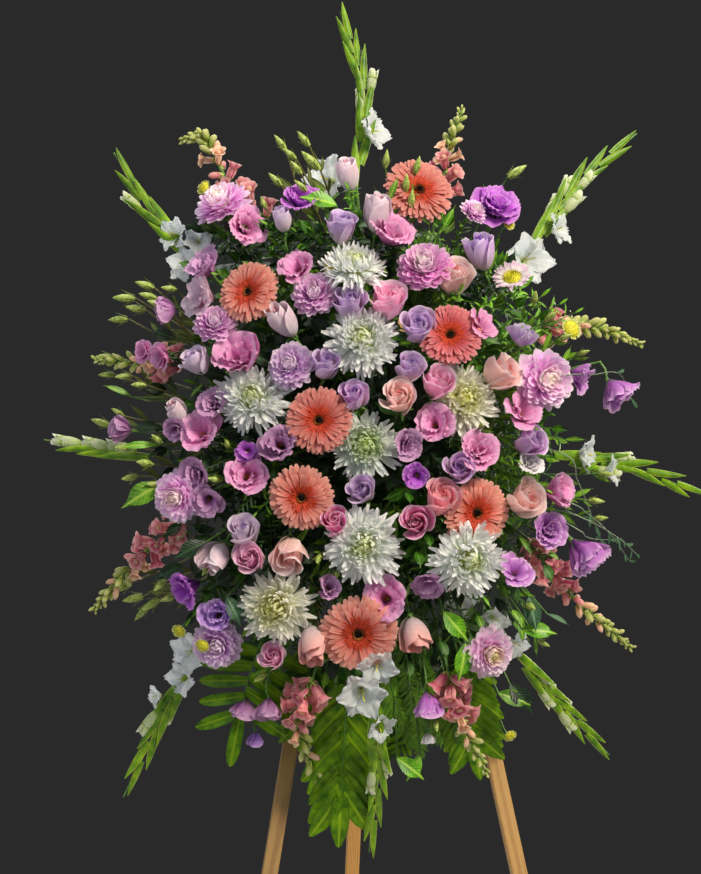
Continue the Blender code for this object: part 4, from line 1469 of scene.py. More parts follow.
class Lisianthus(Flower):
    """Lisianthus: wide, thin, waved petals in two rings round a dark throat with stamens."""

    kind = "lisianthus"
    variants = 6
    outward = 0.42
    lift = 0.18
    wander = 0.50
    curl_power = 1.0
    throat = 0.10
    forms = (
        BellForm(58, -4, -62, 66, 2, 0),
        BellForm(52, 20, -64, 62, 16, 2),
        BellForm(66, -24, -50, 74, -12, 0),
        BellForm(50, 22, -70, 60, 22, 5),
        BellForm(56, 6, -76, 66, 8, 0),
        BellForm(64, 8, -40, 72, 6, 2),
    )

    def fill(self, made: Assembly, finish: PetalFinish, seed: int) -> None:
        """Adds a lisianthus's petals.

        Args:
            made: The bloom.
            finish: The petals' finish.
            seed: The variant's number.
        """
        form = self.forms[seed]
        dice = made.dice
        petal = Blade(
            1.55, 1.46, (0.24, 0.56, 0.88, 1.0, 0.84), 11, 12, curl_power=self.curl_power, lip_power=3,
            cup=54, cup_tip=14, round_tip=0.12, ruffle=0.09, waves=2.2,
        )
        outer = [
            replace(petal, curl=form.curl + c, lip=form.lip - c, waves=2.2 + c / 16).mesh(
                "lisianthus_petal", finish, seed * 9 + c
            )
            for c in (-14, 0, 14)
        ]
        small = replace(petal, length=1.34, width=1.16, lip=form.lip * 0.75, cup=44, ruffle=0.10)
        inner = [
            replace(small, curl=form.inner_curl + c).mesh("inner_petal", finish, seed * 9 + c + 4)
            for c in (-12, 10)
        ]
        start = dice.uniform(0, 6)
        for i in range(5):
            turn = start + (i + made.vary(0.18)) / 5 * TURN
            made.add_petal(dice.choice(outer), turn, form.rise + made.vary(9), self.throat, -0.75,
                           1.0 + made.vary(0.10), 7 + made.vary(10), 1.0 + made.vary(0.08), 1.0)
        for i in range(5):
            turn = start + (i + 0.5 + made.vary(0.2)) / 5 * TURN
            made.add_petal(dice.choice(inner), turn, form.inner_rise + made.vary(8), self.throat * 0.8, -0.72,
                           1.0 + made.vary(0.09), 7 + made.vary(14), 0.98 + made.vary(0.08), 0.7)
        for i in range(form.cores):
            turn = start + (i + made.vary(0.3)) / form.cores * TURN
            made.add_petal(dice.choice(inner), turn, 78 + made.vary(8), 0.06, -0.70, 0.84, made.vary(30),
                           0.93 + made.vary(0.06), 0.45)
        stamen = Blade(0.36, 0.07, (0.5, 0.5, 1.0, 0.8), 2, 4, curl=-20, cup=60).mesh("stamen", EYE_OLIVE)
        for i in range(6):
            made.add_petal(stamen, i * 1.05, 80, 0.04, -0.45)
        sepal = Blade(0.75, 0.09, (1.0, 0.8, 0.5, 0.1), 2, 4, curl=-15, cup=20).mesh("sepal", STALK)
        made.add_calyx(sepal, 5, 48, 0.08, -0.78, start)
        made.add_ball(0.14, -0.78, 1.1, STALK)


class LisianthusCup(Lisianthus):
    """A lisianthus seen from its side, closed like a tulip."""

    kind = "lisianthus_cup"
    variants = 1
    outward = 0.8
    lift = 0.0
    wander = 0.12
    curl_power = 0.7
    forms = (BellForm(34, 60, -8, 46, 48, 1),)


class LisianthusTrumpet(LisianthusCup):
    """A lisianthus seen from its side, flared like a trumpet."""

    kind = "lisianthus_trumpet"
    forms = (BellForm(56, 16, -40, 62, 16, 0),)


class Aster(Flower):
    """Small aster: close rows of short rays round a yellow-green button."""

    kind = "aster"
    stalk_radius = 1.2 * MM
    outward = 0.5
    rays = 40
    ray_length = 0.55
    button = 0.42
    button_florets = 60

    def fill(self, made: Assembly, finish: PetalFinish, seed: int) -> None:
        """Adds an aster's rays and button.

        Args:
            made: The bloom.
            finish: The rays' finish.
            seed: The variant's number.
        """
        ray = Blade(self.ray_length, 0.22, (0.5, 0.9, 1.0, 0.6), 2, 5, curl=-12, cup=25).mesh("ray", finish)
        for i in range(self.rays):
            made.add_petal(ray, i / self.rays * TURN * 3.02, 18 + made.vary(14), self.button * 0.9, 0.0,
                           1 + made.vary(0.12), made.vary(15), 1 + made.vary(0.08))
        made.add_ball(self.button, -0.06, 0.5, YELLOW_BUTTON)
        shape = Blade(0.13, 0.11, (0.8, 1.0, 0.9, 0.4), 2, 3, curl=20, cup=60)
        floret = shape.mesh("button_floret", YELLOW_BUTTON)
        for i in range(self.button_florets):
            radius = self.button * math.sqrt((i + 0.5) / self.button_florets)
            height = 0.17 * math.cos(radius / self.button * 1.45) - 0.05
            made.add_petal(floret, i * GOLDEN_ANGLE, 88 - 110 * radius, radius, height)
        sepal = Blade(0.4, 0.16, (1.0, 0.9, 0.6, 0.1), 2, 3, curl=25, cup=30).mesh("sepal", STALK)
        made.add_calyx(sepal, 9, 15, 0.02, -0.25)


class Button(Aster):
    """Aster whose rays are still short: almost a yellow ball."""

    kind = "button"
    rays = 22
    ray_length = 0.30
    button = 0.72


# Spikes ------------------------------------------------------------------------------------------


@dataclass(frozen=True)
class Spike:
    """A stem with florets along it, in the place of a CAD spike."""

    node: str
    line: tuple[Place, ...]  # x, z and forward place in cm, foot to tip
    florets: tuple[tuple[float, float, float, float], ...] = ()  # open florets: x, z, radius, right
    ripening: float = 1.0  # below 1, closed buds start lower on the spike

    def points(self, count: int) -> list[Vector]:
        """Points along the spike, from where its florets start to its tip."""
        return smooth_line(PLAN.hung(self.line), count)

    def stem(self, thick: float, thin: float) -> Object:
        """The stem from the foam to the tip.

        Args:
            thick: Radius at the foam.
            thin: Radius at the tip.

        Returns:
            The stem.
        """
        run = self.points(14)
        foot = PLAN.stem_end(self.line[0][0], self.line[0][1])
        line = [foot, foot.lerp(run[0], 0.6), *run]
        radii = [thick] * 2 + [thick + (thin - thick) * i / 13 for i in range(14)]
        return tube("spike_stem", line, radii, STALK)


def frame_on(line: list[Vector], share: float, ahead: Vector = FRONT) -> tuple[Vector, ...]:
    """A place on a line, with its own axes.

    Args:
        line: The line's points.
        share: How far along it, from 0 to 1.
        ahead: The way that the front of the line faces.

    Returns:
        The place, and unit vectors along, to the side and to the front.
    """
    place = share * (len(line) - 1)
    index = min(int(place), len(line) - 2)
    along = (line[index + 1] - line[index]).normalized()
    side = along.cross(ahead).normalized()
    return line[index].lerp(line[index + 1], place - index), along, side, side.cross(along)


def leaf_pose(place: Vector, out: Vector, face: Vector, size: float = 1.0) -> Matrix:
    """The matrix that grows a leaf from a place.

    Args:
        place: Its foot.
        out: The way that it grows.
        face: The way that its upper side faces.
        size: Its length in metres.

    Returns:
        The matrix.
    """
    across = out.cross(face).normalized()
    pose = Matrix((across, out, across.cross(out))).transposed().to_4x4()
    pose.translation = place
    return pose @ Matrix.Scale(size, 4)


class SpikeFlower:
    """A kind of flower that grows as a spike: builds its florets once, then every spike of the spray."""

    colour = ""  # goes before the CAD node's name in the piece's name
    slot = ""
    thick = 3.0 * MM  # the stem's radius at the foam
    thin = 1.3 * MM  # and at the tip
    spikes: tuple[Spike, ...] = ()

    def grow(self, made: Assembly, spike: Spike, line: list[Vector], length: float) -> None:
        """Adds a spike's florets and buds along its line, whose length is in metres."""
        raise NotImplementedError

    def build(self) -> None:
        """Builds every spike."""
        for spike in self.spikes:
            made = Assembly(spike.node, random.Random(spike.node))
            line = spike.points(24)
            self.grow(made, spike, line, sum((b - a).length for a, b in zip(line, line[1:])))
            made.parts.append(spike.stem(self.thick, self.thin))
            settle(f"{self.colour}_{spike.node}", made.parts, spike.node)


class Gladiolus(SpikeFlower):
    """White gladiolus: two ranks of narrow pointed bracts close to the stem, and ruffled florets."""

    colour = "white"
    slot = "white_petal"
    thick = 3.4 * MM
    thin = 1.4 * MM
    spikes = (
        Spike("gladiolus_top",
              ((-7.0, 157.0, -24), (-5.2, 171.0, -21), (-6.4, 179.5, -19), (-9.0, 188.8, -17)),
              ((-3.4, 167.0, 3.5, 0.9), (-12.5, 158.5, 4.2, -0.5))),
        Spike("gladiolus_upper_left", ((-35.5, 145.0, -25), (-42.2, 153.2, -22), (-48.2, 163.0, -19)),
              ((-38.5, 148.5, 3.0, -0.6), (-36.5, 143.5, 3.2, -0.3), (-34.0, 147.5, 2.6, 0.2))),
        Spike("gladiolus_upper_right", ((23.5, 147.0, -26), (31.8, 158.0, -22), (43.6, 168.0, -19)),
              ((22.5, 145.0, 4.4, 0.1), (28.4, 150.2, 3.0, 0.8))),
        Spike("gladiolus_right", ((26.0, 110.8, -30), (41.0, 109.0, -24), (55.6, 103.9, -20)),
              ((32.6, 111.4, 3.2, 1.2), (37.4, 108.6, 2.7, 1.4))),
        Spike("gladiolus_left", ((-42.0, 111.2, -24), (-50.0, 112.4, -21), (-60.0, 113.8, -18))),
        Spike("gladiolus_lower_right", ((20.5, 77.0, -25), (29.3, 67.5, -21), (38.9, 57.9, -18)),
              ((16.8, 83.0, 3.0, 0.2), (20.8, 78.5, 2.5, 0.4), (11.0, 86.0, 3.2, 0.3))),
        Spike("gladiolus_lower_left", ((-36.0, 74.0, -23), (-40.6, 65.0, -20), (-46.6, 52.2, -17)),
              ((-35.6, 77.8, 3.6, -0.2), (-37.0, 73.2, 3.0, -0.3), (-41.5, 70.2, 2.2, -1.5))),
        Spike("gladiolus_bottom", ((-5.5, 71.0, -37), (-4.2, 58.0, -31), (-5.0, 43.6, -26)),
              ((-7.7, 72.0, 4.2, 0.0), (-4.2, 66.2, 2.6, 0.4), (-5.0, 76.5, 3.4, 0.1))),
    )
    bract_step = 31 * MM
    longest_bract = 92 * MM
    shortest_bract = 62 * MM
    ripe_bracts = 4  # this many bracts from the foot may hold a bud that opens
    floret_depth = 18 * MM  # how far an open floret sits ahead of the stem

    def __init__(self) -> None:
        """Shapes the bracts, the bud and the floret that every spike repeats."""
        self.pods = [self.pod(curl) for curl in (3, 10)]
        dice = random.Random("gladiolus")
        bud = Assembly("gladiolus_bud", dice)
        pod = Pod(0.34, (0.40, 0.80, 1.0, 0.98, 0.72, 0.14), bend=0.06).mesh("bud_body", GLADIOLUS_BUD)
        bud.add(pod, Matrix.Identity(4))
        fold = Blade(0.36, 0.28, (0.8, 1.0, 0.9, 0.6), 3, 5, curl=18, cup=50, ruffle=0.03)
        folds = [fold.mesh("bud_petal", GLADIOLUS_BUD, s) for s in range(2)]
        for i in range(3):
            bud.add_petal(folds[i % 2], i / 3 * TURN, 84, 0.155, 0.60, 1.0 + bud.vary(0.06), 10)
        self.bud = bud.mesh()
        made = Assembly("gladiolus_floret", dice)
        petal = Blade(
            1.35, 0.98, (0.22, 0.55, 0.95, 0.95, 0.46), 9, 11, curl=-6, lip=-56, lip_power=2.2, cup=42,
            cup_tip=8, round_tip=0.20, ruffle=0.11, waves=3.6,
        )
        petals = [petal.mesh("floret_petal", GLADIOLUS_WHITE, s) for s in range(4)]
        for i in range(6):
            made.add_petal(petals[i % 4], i / 6 * TURN, (48 if i % 2 else 62) + made.vary(8), 0.05, -0.7,
                           1.0 - 0.12 * (i % 2), 5 + made.vary(12), 1 + made.vary(0.05))
        stamen = Blade(0.65, 0.07, (0.6, 0.6, 0.8, 1.0), 2, 4, curl=-15, cup=50).mesh("stamen", YELLOW_BUTTON)
        for i in range(3):
            made.add_petal(stamen, i * 2.1, 82, 0.03, -0.5)
        self.floret = made.mesh()

    def pod(self, curl: float) -> Mesh:
        """A bract folded round the bud inside it, 1 long, along +Y.

        Args:
            curl: How far its tip bends forward, in degrees.

        Returns:
            The mesh.
        """
        made = Assembly("bract_pod", random.Random(curl))
        fold = Blade(1.0, 0.225, (0.74, 1.0, 0.94, 0.66, 0.08), 4, 9, curl=-curl, cup=62, round_tip=0.0)
        turned = Matrix.Rotation(math.pi, 4, "Y") @ Matrix.Translation((0, 0, -0.06))
        made.add(fold.mesh("bract", BRACT_GREEN), turned)
        bud = Pod(0.17, (0.6, 0.95, 1.0, 0.72, 0.30, 0.02), thick=0.6)
        made.add(bud.mesh("bract_inner", BRACT_GREEN), LYING @ Matrix.Scale(0.93, 4), 0.86)
        return made.mesh()

    def grow(self, made: Assembly, spike: Spike, line: list[Vector], length: float) -> None:
        """Adds the bracts in two ranks, the buds inside them, and the open florets.

        Args:
            made: The spike's assembly.
            spike: Its place and florets.
            line: Points along it.
            length: Its length in metres.
        """
        dice = made.dice
        count = max(round((length - self.shortest_bract) / self.bract_step), 5)
        for i in range(count + 1):
            share = i / count * (1 - self.shortest_bract / length)
            rank = 1 if i % 2 else -1
            place, along, side, front = frame_on(line, share)
            size = self.longest_bract + (self.shortest_bract - self.longest_bract) * share
            size *= dice.uniform(0.92, 1.06)
            spread = 0.03 if i == count else 0.12 + made.vary(0.04)
            out = (along + side * rank * spread + front * made.vary(0.05)).normalized()
            face = (front + side * rank * 0.35 + side * made.vary(0.15)).normalized()
            pose = leaf_pose(place + side * rank * size * 0.03, out, face)
            if not spike.florets and i % 2:
                made.add(self.bud, pose @ LYING @ Matrix.Scale(size * 0.80, 4))
                continue
            if i < self.ripe_bracts and spike.florets and dice.random() < 0.6:
                bud = Matrix.Rotation(math.radians(-90 + 8 * rank), 4, "X") @ Matrix.Scale(size * 0.62, 4)
                bud = pose @ Matrix.Translation((0, size * 0.60, 0)) @ bud
                made.add(self.bud, bud, 1.0 + made.vary(0.03))
            made.add(dice.choice(self.pods), pose @ Matrix.Scale(size, 4), 1.0 + made.vary(0.14))
        for x, z, radius, right in spike.florets:
            spot = Spot(x, z, radius, right)
            head = spot.head()
            head.y = min(line, key=lambda point: (point - head).length).y - self.floret_depth
            pose = aim(head, spot.facing(dice), dice.uniform(0, 6)) @ Matrix.Scale(radius * CM, 4)
            made.add(self.floret, pose, 1.0 + made.vary(0.03))


@dataclass(frozen=True)
class Stage:
    """One stretch of a snapdragon's spike: what grows there, and how close together."""

    end: float  # where the stretch ends, as a share of the spike
    size: float
    lean: float  # how far the florets stand out from the stem
    step: float
    kinds: tuple[str, ...]


class Snapdragon(SpikeFlower):
    """Snapdragon: coral florets round the lower stem, peach buds above them, green buds at the tip."""

    colour = "coral"
    slot = "snapdragon_petal"
    thick = 2.6 * MM
    thin = 1.2 * MM
    spikes = (
        Spike("snapdragon_upper_left", ((-22.5, 151.5, -24), (-28.0, 156.8, -23), (-31.4, 162.6, -22),
                                        (-32.8, 165.8, -21), (-36.6, 165.2, -20)), ripening=0.8),
        Spike("snapdragon_upper_right", ((8.0, 156.0, -23), (9.4, 163.5, -22), (11.9, 171.4, -21)),
              ripening=0.85),
        Spike("snapdragon_right", ((24.0, 132.6, -26), (34.0, 133.6, -23), (44.4, 130.6, -20)), ripening=0.5),
        Spike("snapdragon_left", ((-36.5, 126.2, -25), (-43.0, 127.0, -22), (-51.3, 127.4, -19)),
              ripening=0.7),
        Spike("snapdragon_lower_left", ((-36.0, 100.5, -24), (-44.4, 93.0, -21), (-51.6, 84.6, -18))),
        Spike("snapdragon_lower_right", ((22.0, 96.8, -29), (30.5, 86.9, -24), (42.6, 77.0, -19))),
        Spike("snapdragon_bottom_left", ((-15.2, 74.0, -32), (-17.5, 66.0, -29), (-11.5, 52.0, -25))),
        Spike("snapdragon_bottom_right", ((7.5, 75.0, -33), (9.8, 67.0, -31.5), (14.4, 57.6, -30))),
    )
    stages = (
        Stage(0.42, 34 * MM, 1.7, 8.4 * MM, ("coral", "rose", "coral")),
        Stage(0.55, 30 * MM, 1.5, 8.0 * MM, ("peach", "coral_bud", "peach")),
        Stage(0.75, 29 * MM, 1.0, 6.0 * MM, ("green_bud", "peach_bud", "green_bud")),
        Stage(0.90, 22 * MM, 0.85, 4.2 * MM, ("green_bud",)),
        Stage(1.01, 14 * MM, 0.6, 2.8 * MM, ("green_bud",)),
    )

    def __init__(self) -> None:
        """Shapes the florets and buds that every spike repeats."""
        self.shapes = {
            "coral": self.floret(SNAP_CORAL),
            "rose": self.floret(SNAP_ROSE),
            "peach": self.floret(SNAP_PEACH),
            "coral_bud": self.bud(SNAP_CORAL),
            "peach_bud": self.bud(SNAP_PEACH),
            "green_bud": self.bud(SNAP_GREEN),
        }

    def floret(self, finish: PetalFinish) -> Mesh:
        """An open two-lipped floret of length 1 along +Z.

        Args:
            finish: The petals' finish.

        Returns:
            The mesh.
        """
        made = Assembly("snapdragon_floret", random.Random(finish.name))
        pouch = Blade(0.92, 0.74, (0.5, 0.88, 1.0, 1.0, 0.92), 4, 5, curl=16, cup=98).mesh("pouch", finish)
        for i in range(2):
            made.add_petal(pouch, i * math.pi, 82, 0.07, tone=0.97 + made.vary(0.04))
        lobe = Blade(
            0.42, 0.54, (0.75, 1.0, 1.0, 0.92), 4, 4, curl=-66, cup=34, round_tip=0.40, ruffle=0.02, waves=2
        )
        lobes = [lobe.mesh("lobe", finish, s) for s in range(3)]
        for i in range(5):
            made.add_petal(lobes[i % 3], i / 5 * TURN + made.vary(0.2), 80 + made.vary(10), 0.21, 0.72,
                           roll=made.vary(12), tone=1.06 + made.vary(0.08))
        made.add_ball(0.19, 0.84, 0.8, SNAP_PEACH)
        sepal = Blade(0.36, 0.22, (1.0, 0.9, 0.5, 0.1), 2, 3, curl=30, cup=40)
        made.add_calyx(sepal.mesh("floret_sepal", BUD_GREEN), 5, 40, 0.06, -0.05)
        return made.mesh()

    def bud(self, finish: PetalFinish) -> Mesh:
        """A closed bud of length 1 along +Z, with its green calyx.

        Args:
            finish: The petals' finish.

        Returns:
            The mesh.
        """
        made = Assembly("snapdragon_bud", random.Random(finish.name + "bud"))
        pod = Pod(0.44, (0.50, 0.88, 0.92, 1.0, 0.86, 0.22), bend=0.12)
        made.add(pod.mesh("bud_body", finish), Matrix.Identity(4))
        sepal = Blade(0.46, 0.22, (1.0, 0.9, 0.5, 0.1), 2, 3, curl=30, cup=40)
        made.add_calyx(sepal.mesh("bud_sepal", BUD_GREEN), 5, 56, 0.12, -0.02)
        return made.mesh()

    def grow(self, made: Assembly, spike: Spike, line: list[Vector], length: float) -> None:
        """Adds florets and buds in a spiral round the stem.

        Args:
            made: The spike's assembly.
            spike: Its place and ripening.
            line: Points along it.
            length: Its length in metres.
        """
        dice = made.dice
        travelled, number = 0.0, 0
        while travelled < length:
            share = travelled / length
            stage = next(stage for stage in self.stages if share**spike.ripening < stage.end)
            place, along, side, front = frame_on(line, share)
            turn = number * GOLDEN_ANGLE + made.vary(0.3)
            round_way = side * math.cos(turn) + front * math.sin(turn)
            way = (along + round_way * stage.lean).normalized()
            pose = aim(place + round_way * 1.6 * MM, way, dice.uniform(0, 6))
            size = stage.size * (1.0 - 0.25 * share) * dice.uniform(0.88, 1.14)
            shape = self.shapes[dice.choice(stage.kinds)]
            made.add(shape, pose @ Matrix.Scale(size, 4), 1.0 + made.vary(0.12))
            travelled += stage.step
            number += 1


# Greens ------------------------------------------------------------------------------------------


Leaves = dict[LeafFinish, Mesh]


@dataclass(frozen=True)
class Palm:
    """A palm frond that hangs at the bottom of the spray, in the place of a CAD frond."""

    node: str
    line: tuple[Place, ...]  # where its leaflets grow: x, z and forward place in cm
    broad: bool
    pairs: int
    size: float  # the longest leaflet, in metres
    rake: float
    shape: tuple[float, ...]
    disorder: float


class Greens:
    """The foliage between and behind the flowers."""

    filling_sprigs = 252
    filling_pieces = 14
    filling_middle = (-5, 114)  # x and z in cm
    filling_reach = (36, 35, 42)  # to the left, to the right, and up or down, in cm
    collar_sprays = 72
    collar_pieces = 4
    collar_middle = (-4, 113)
    collar_reach = (37, 31, 44)
    crown_sprigs = 64
    dark_leaves = 40  # under the lowest flowers
    palms = (
        Palm("palm_frond_centre", ((-9.0, 74, -30), (-9.6, 63, -29), (-10.0, 53.5, -28)), True, 8, 0.106,
             1.15, (1.0, 1.0, 1.0, 0.96, 0.86), 0.07),
        Palm("palm_frond_left", ((-23.6, 80.0, -29), (-25.6, 74, -28.5), (-27.0, 67.5, -28)), False, 5, 0.092,
             0.16, (1.0, 1.0, 1.0, 1.0, 1.0), 0.07),
        Palm("palm_frond_right", ((10.6, 76, -27), (11.8, 69.5, -26), (13.2, 62.5, -25)), True, 8, 0.088, 0.9,
             (0.8, 0.95, 1.0, 1.0, 0.9), 0.05),
    )

    def __init__(self) -> None:
        """Shapes the leaves that the sprigs repeat, 1 long."""
        lance = Blade(1.0, 0.24, (0.12, 0.75, 1.0, 0.72, 0.04), 2, 5, curl=-30, cup=28)
        ovate = Blade(1.0, 0.52, (0.10, 0.85, 1.0, 0.72, 0.05), 4, 6, curl=-35, cup=26, ruffle=0.03)
        pinna = Blade(1.0, 0.20, (0.9, 1.0, 0.85, 0.55, 0.08), 1, 3, curl=-20)
        strap = Blade(
            1.0, 0.27, (0.66, 0.94, 1.0, 1.0, 0.80), 6, 8, curl=-16, cup=26, round_tip=0.20, groove=0.02
        )
        broad = Blade(
            1.0, 0.36, (0.70, 0.98, 1.0, 0.86, 0.40), 6, 8, curl=-12, cup=18, round_tip=0.10, groove=0.02
        )
        sprig_finishes = (LEAF_DARK_PAINTED_SHADE, LEAF_DUSK, LEAF_MID, LEAF_GREY, LEAF_BRIGHT, OLIVE_LEAF)
        self.lance = self.leaves(lance, "lance_leaf", sprig_finishes)
        self.ovate = self.leaves(ovate, "ovate_leaf", sprig_finishes, 3)
        self.pinna = self.leaves(pinna, "fern_pinna", (FERN_GREEN, FERN_LIGHT))
        self.strap = self.leaves(strap, "palm_leaflet", (PALM_BRIGHT, PALM_OLIVE))
        self.broad_strap = broad.mesh("broad_leaflet", PALM_BRIGHT)
        bud = Assembly("green_bud", random.Random("bud"))
        pod = Pod(0.36, (0.34, 0.84, 1.0, 0.86, 0.50, 0.06)).mesh("bud_pod", BUD_GREEN)
        bud.add(pod, Matrix.Identity(4))
        sepal = Blade(0.66, 0.13, (1.0, 0.9, 0.6, 0.08), 2, 4, curl=-14, cup=40).mesh("bud_sepal", BUD_GREEN)
        for i in range(4):
            bud.add_petal(sepal, i / 4 * TURN, 75, 0.13, 0.04, 1.0 + bud.vary(0.1), 0, 0.85)
        self.bud = bud.mesh()

    def leaves(self, blade: Blade, name: str, finishes: tuple[LeafFinish, ...], seed: int = 0) -> Leaves:
        """Shapes one blade in several finishes.

        Args:
            blade: The blade.
            name: Its meshes' name.
            finishes: The finishes.
            seed: Sets the phase of its ruffles.

        Returns:
            A mesh for each finish.
        """
        return {finish: blade.mesh(name, finish, seed) for finish in finishes}

    def sprig(
        self, made: Assembly, leaf: Mesh, foot: Vector, tip: Vector, leaves: int, size: float
    ) -> None:
        """Adds a leafy twig.

        Args:
            made: The assembly that it joins.
            leaf: The leaf's mesh.
            foot: Where its leaves start.
            tip: Its tip.
            leaves: How many leaves it has.
            size: Its leaves' length in metres.
        """
        rise = Vector((0, 0, 0.05 * (tip - foot).length))
        line = smooth_line([foot, foot.lerp(tip, 0.55) + rise, tip], 7)
        made.parts.append(tube("twig", line, [1.3 * MM - 0.13 * MM * i for i in range(7)], STALK, 4))
        for i in range(leaves):
            share = (i + 0.6) / leaves
            place, forward, aside, front = frame_on(line, min(share, 1.0), Vector((0.2, -1, 0.1)))
            turn = i * GOLDEN_ANGLE + made.vary(0.4)
            way = aside * math.cos(turn) + front * math.sin(turn)
            last = i == leaves - 1
            out = (forward * 0.75 + way * (0.2 if last else 1.0)).normalized()
            face = front if last else (forward - out * forward.dot(out)).normalized()
            reach = size * (1.0 - 0.35 * share) * made.dice.uniform(0.85, 1.15)
            made.add(leaf, leaf_pose(place, out, face, reach), 1.0 + made.vary(0.22))

    def frond(
        self, made: Assembly, leaflet: Mesh, line: list[Vector], pairs: int, size: float, face: Vector,
        rake: float, shape: tuple[float, ...] = (0.55, 0.9, 1.0, 0.85, 0.45), disorder: float = 0.08,
        rib: float = 1.4 * MM,
    ) -> None:
        """Adds a pinnate leaf: a fern or a palm.

        Args:
            made: The assembly that it joins.
            leaflet: The leaflet's mesh.
            line: The rib's points, where leaflets grow.
            pairs: How many pairs of leaflets it has.
            size: The longest leaflet, in metres.
            face: The way that its upper side faces.
            rake: How far the leaflets lean to the tip.
            shape: Leaflet lengths at even steps, as shares of size.
            disorder: How far the leaflets stray from their line.
            rib: The rib's radius at its foot.
        """
        count = len(line)
        radii = [rib * (1 - 0.75 * i / (count - 1)) for i in range(count)]
        made.parts.append(tube("rib", line, radii, STALK, 4))
        steps = np.linspace(0, 1, len(shape))
        for i in range(pairs):
            share = (i + 0.5) / pairs
            length = size * float(np.interp(share, steps, shape))
            for hand in (-1, 1):
                place, forward, aside, front = frame_on(line, share + hand * 0.2 / pairs, face)
                lean = aside * hand + forward * (rake + 0.5 * share + made.vary(disorder * 2))
                lean += front * (made.vary(disorder) - 0.12)
                reach = length * made.dice.uniform(1.0 - 2 * disorder, 1.05)
                made.add(leaflet, leaf_pose(place, lean.normalized(), front, reach), 1.0 + made.vary(0.20))
        place, forward, aside, front = frame_on(line, 1.0, face)
        made.add(leaflet, leaf_pose(place, forward, front, size * shape[-1]))

    def filling(self) -> None:
        """Leafy sprigs all over the oval, a few centimetres behind the flowers and closest at its edge."""
        # Sprigs in the shaded parts of the oval take the darker finishes, painted shade; those where the
        # light falls, high, to the right and, for every second sprig, low or right of the middle, take the
        # lighter finishes, painted light.
        shade_painted_sprigs = (  # leaf, finish, size in metres, leaves of the sprig
            (self.ovate, LEAF_DARK_PAINTED_SHADE, 0.064, 7), (self.lance, LEAF_DARK_PAINTED_SHADE, 0.060, 9),
            (self.ovate, LEAF_DARK_PAINTED_SHADE, 0.054, 7), (self.lance, LEAF_MID, 0.050, 9),
            (self.ovate, LEAF_DUSK, 0.056, 7), (self.ovate, LEAF_DARK_PAINTED_SHADE, 0.074, 6),
        )
        sunlit_painted_sprigs = (
            (self.lance, LEAF_MID, 0.056, 10), (self.ovate, LEAF_DUSK, 0.052, 7),
            (self.lance, LEAF_BRIGHT, 0.050, 10), (self.ovate, LEAF_MID, 0.046, 7),
            (self.lance, LEAF_BRIGHT, 0.062, 8), (self.ovate, LEAF_DUSK, 0.060, 6),
        )
        dice = random.Random("filling")
        left, right, rise = self.filling_reach
        middle_x, middle_z = self.filling_middle
        for piece in range(self.filling_pieces):
            made = Assembly(f"greens_{piece + 1}", dice)
            for i in range(piece, self.filling_sprigs, self.filling_pieces):
                radius = ((i + 0.5) / self.filling_sprigs) ** 0.42
                turn = i * GOLDEN_ANGLE
                half = right if math.cos(turn) > 0 else left
                x = middle_x + half * radius * math.cos(turn) + dice.uniform(-1.5, 1.5)
                z = middle_z + rise * radius * math.sin(turn) + dice.uniform(-1.5, 1.5)
                tip = PLAN.front(x, z, -3.5 + dice.uniform(-3.0, 1.0))
                foot = tip.lerp(PLAN.stem_end(x, z), 0.45)
                # True where the sprig takes the lighter finishes, painted light.
                lit = z > 124 and x > 2 or z > 136 or x > 12 and z > 92 or (x > 8 or z < 84) and i % 2
                kind, finish, size, leaves = dice.choice(sunlit_painted_sprigs if lit else shade_painted_sprigs)
                self.sprig(made, kind[finish], foot, tip, leaves, size)
            settle(made.name, made.parts)

    def collar(self) -> None:
        """Dark ferns low and to the left, and fine light sprigs high and to the right, out to the edge."""
        dice = random.Random("collar")
        left, right, rise = self.collar_reach
        middle_x, middle_z = self.collar_middle
        for piece in range(self.collar_pieces):
            made = Assembly(f"fern_{piece + 1}", dice)
            for i in range(piece, self.collar_sprays, self.collar_pieces):
                turn = (i + dice.uniform(-0.4, 0.4)) / self.collar_sprays * TURN
                reach = (0.97, 0.80, 0.90, 0.70)[i % 4]
                x = middle_x + (right if math.cos(turn) > 0 else left) * math.cos(turn) * reach
                z = middle_z + rise * math.sin(turn) * reach
                tip = PLAN.front(x, z, dice.uniform(-2, 1))
                foot = PLAN.stem_end(x, z)
                stray = Vector((dice.uniform(-0.03, 0.03), dice.uniform(-0.05, 0.02), 0.02))
                line = smooth_line([foot.lerp(tip, 0.3), foot.lerp(tip, 0.5) + stray, tip], 14)
                if z > 92 and x > 4 or z > 138:
                    leaf = self.lance[dice.choice((LEAF_BRIGHT, LEAF_MID, LEAF_MID))]
                    self.sprig(made, leaf, line[4], tip, 34, 0.028)
                else:
                    face = Vector((dice.uniform(-0.4, 0.4), -1, 0.3))
                    self.frond(made, self.pinna[FERN_GREEN], line, 26, 0.036, face, 0.7,
                               (0.4, 0.9, 1.0, 0.7, 0.2), 0.15)
            settle(made.name, made.parts)

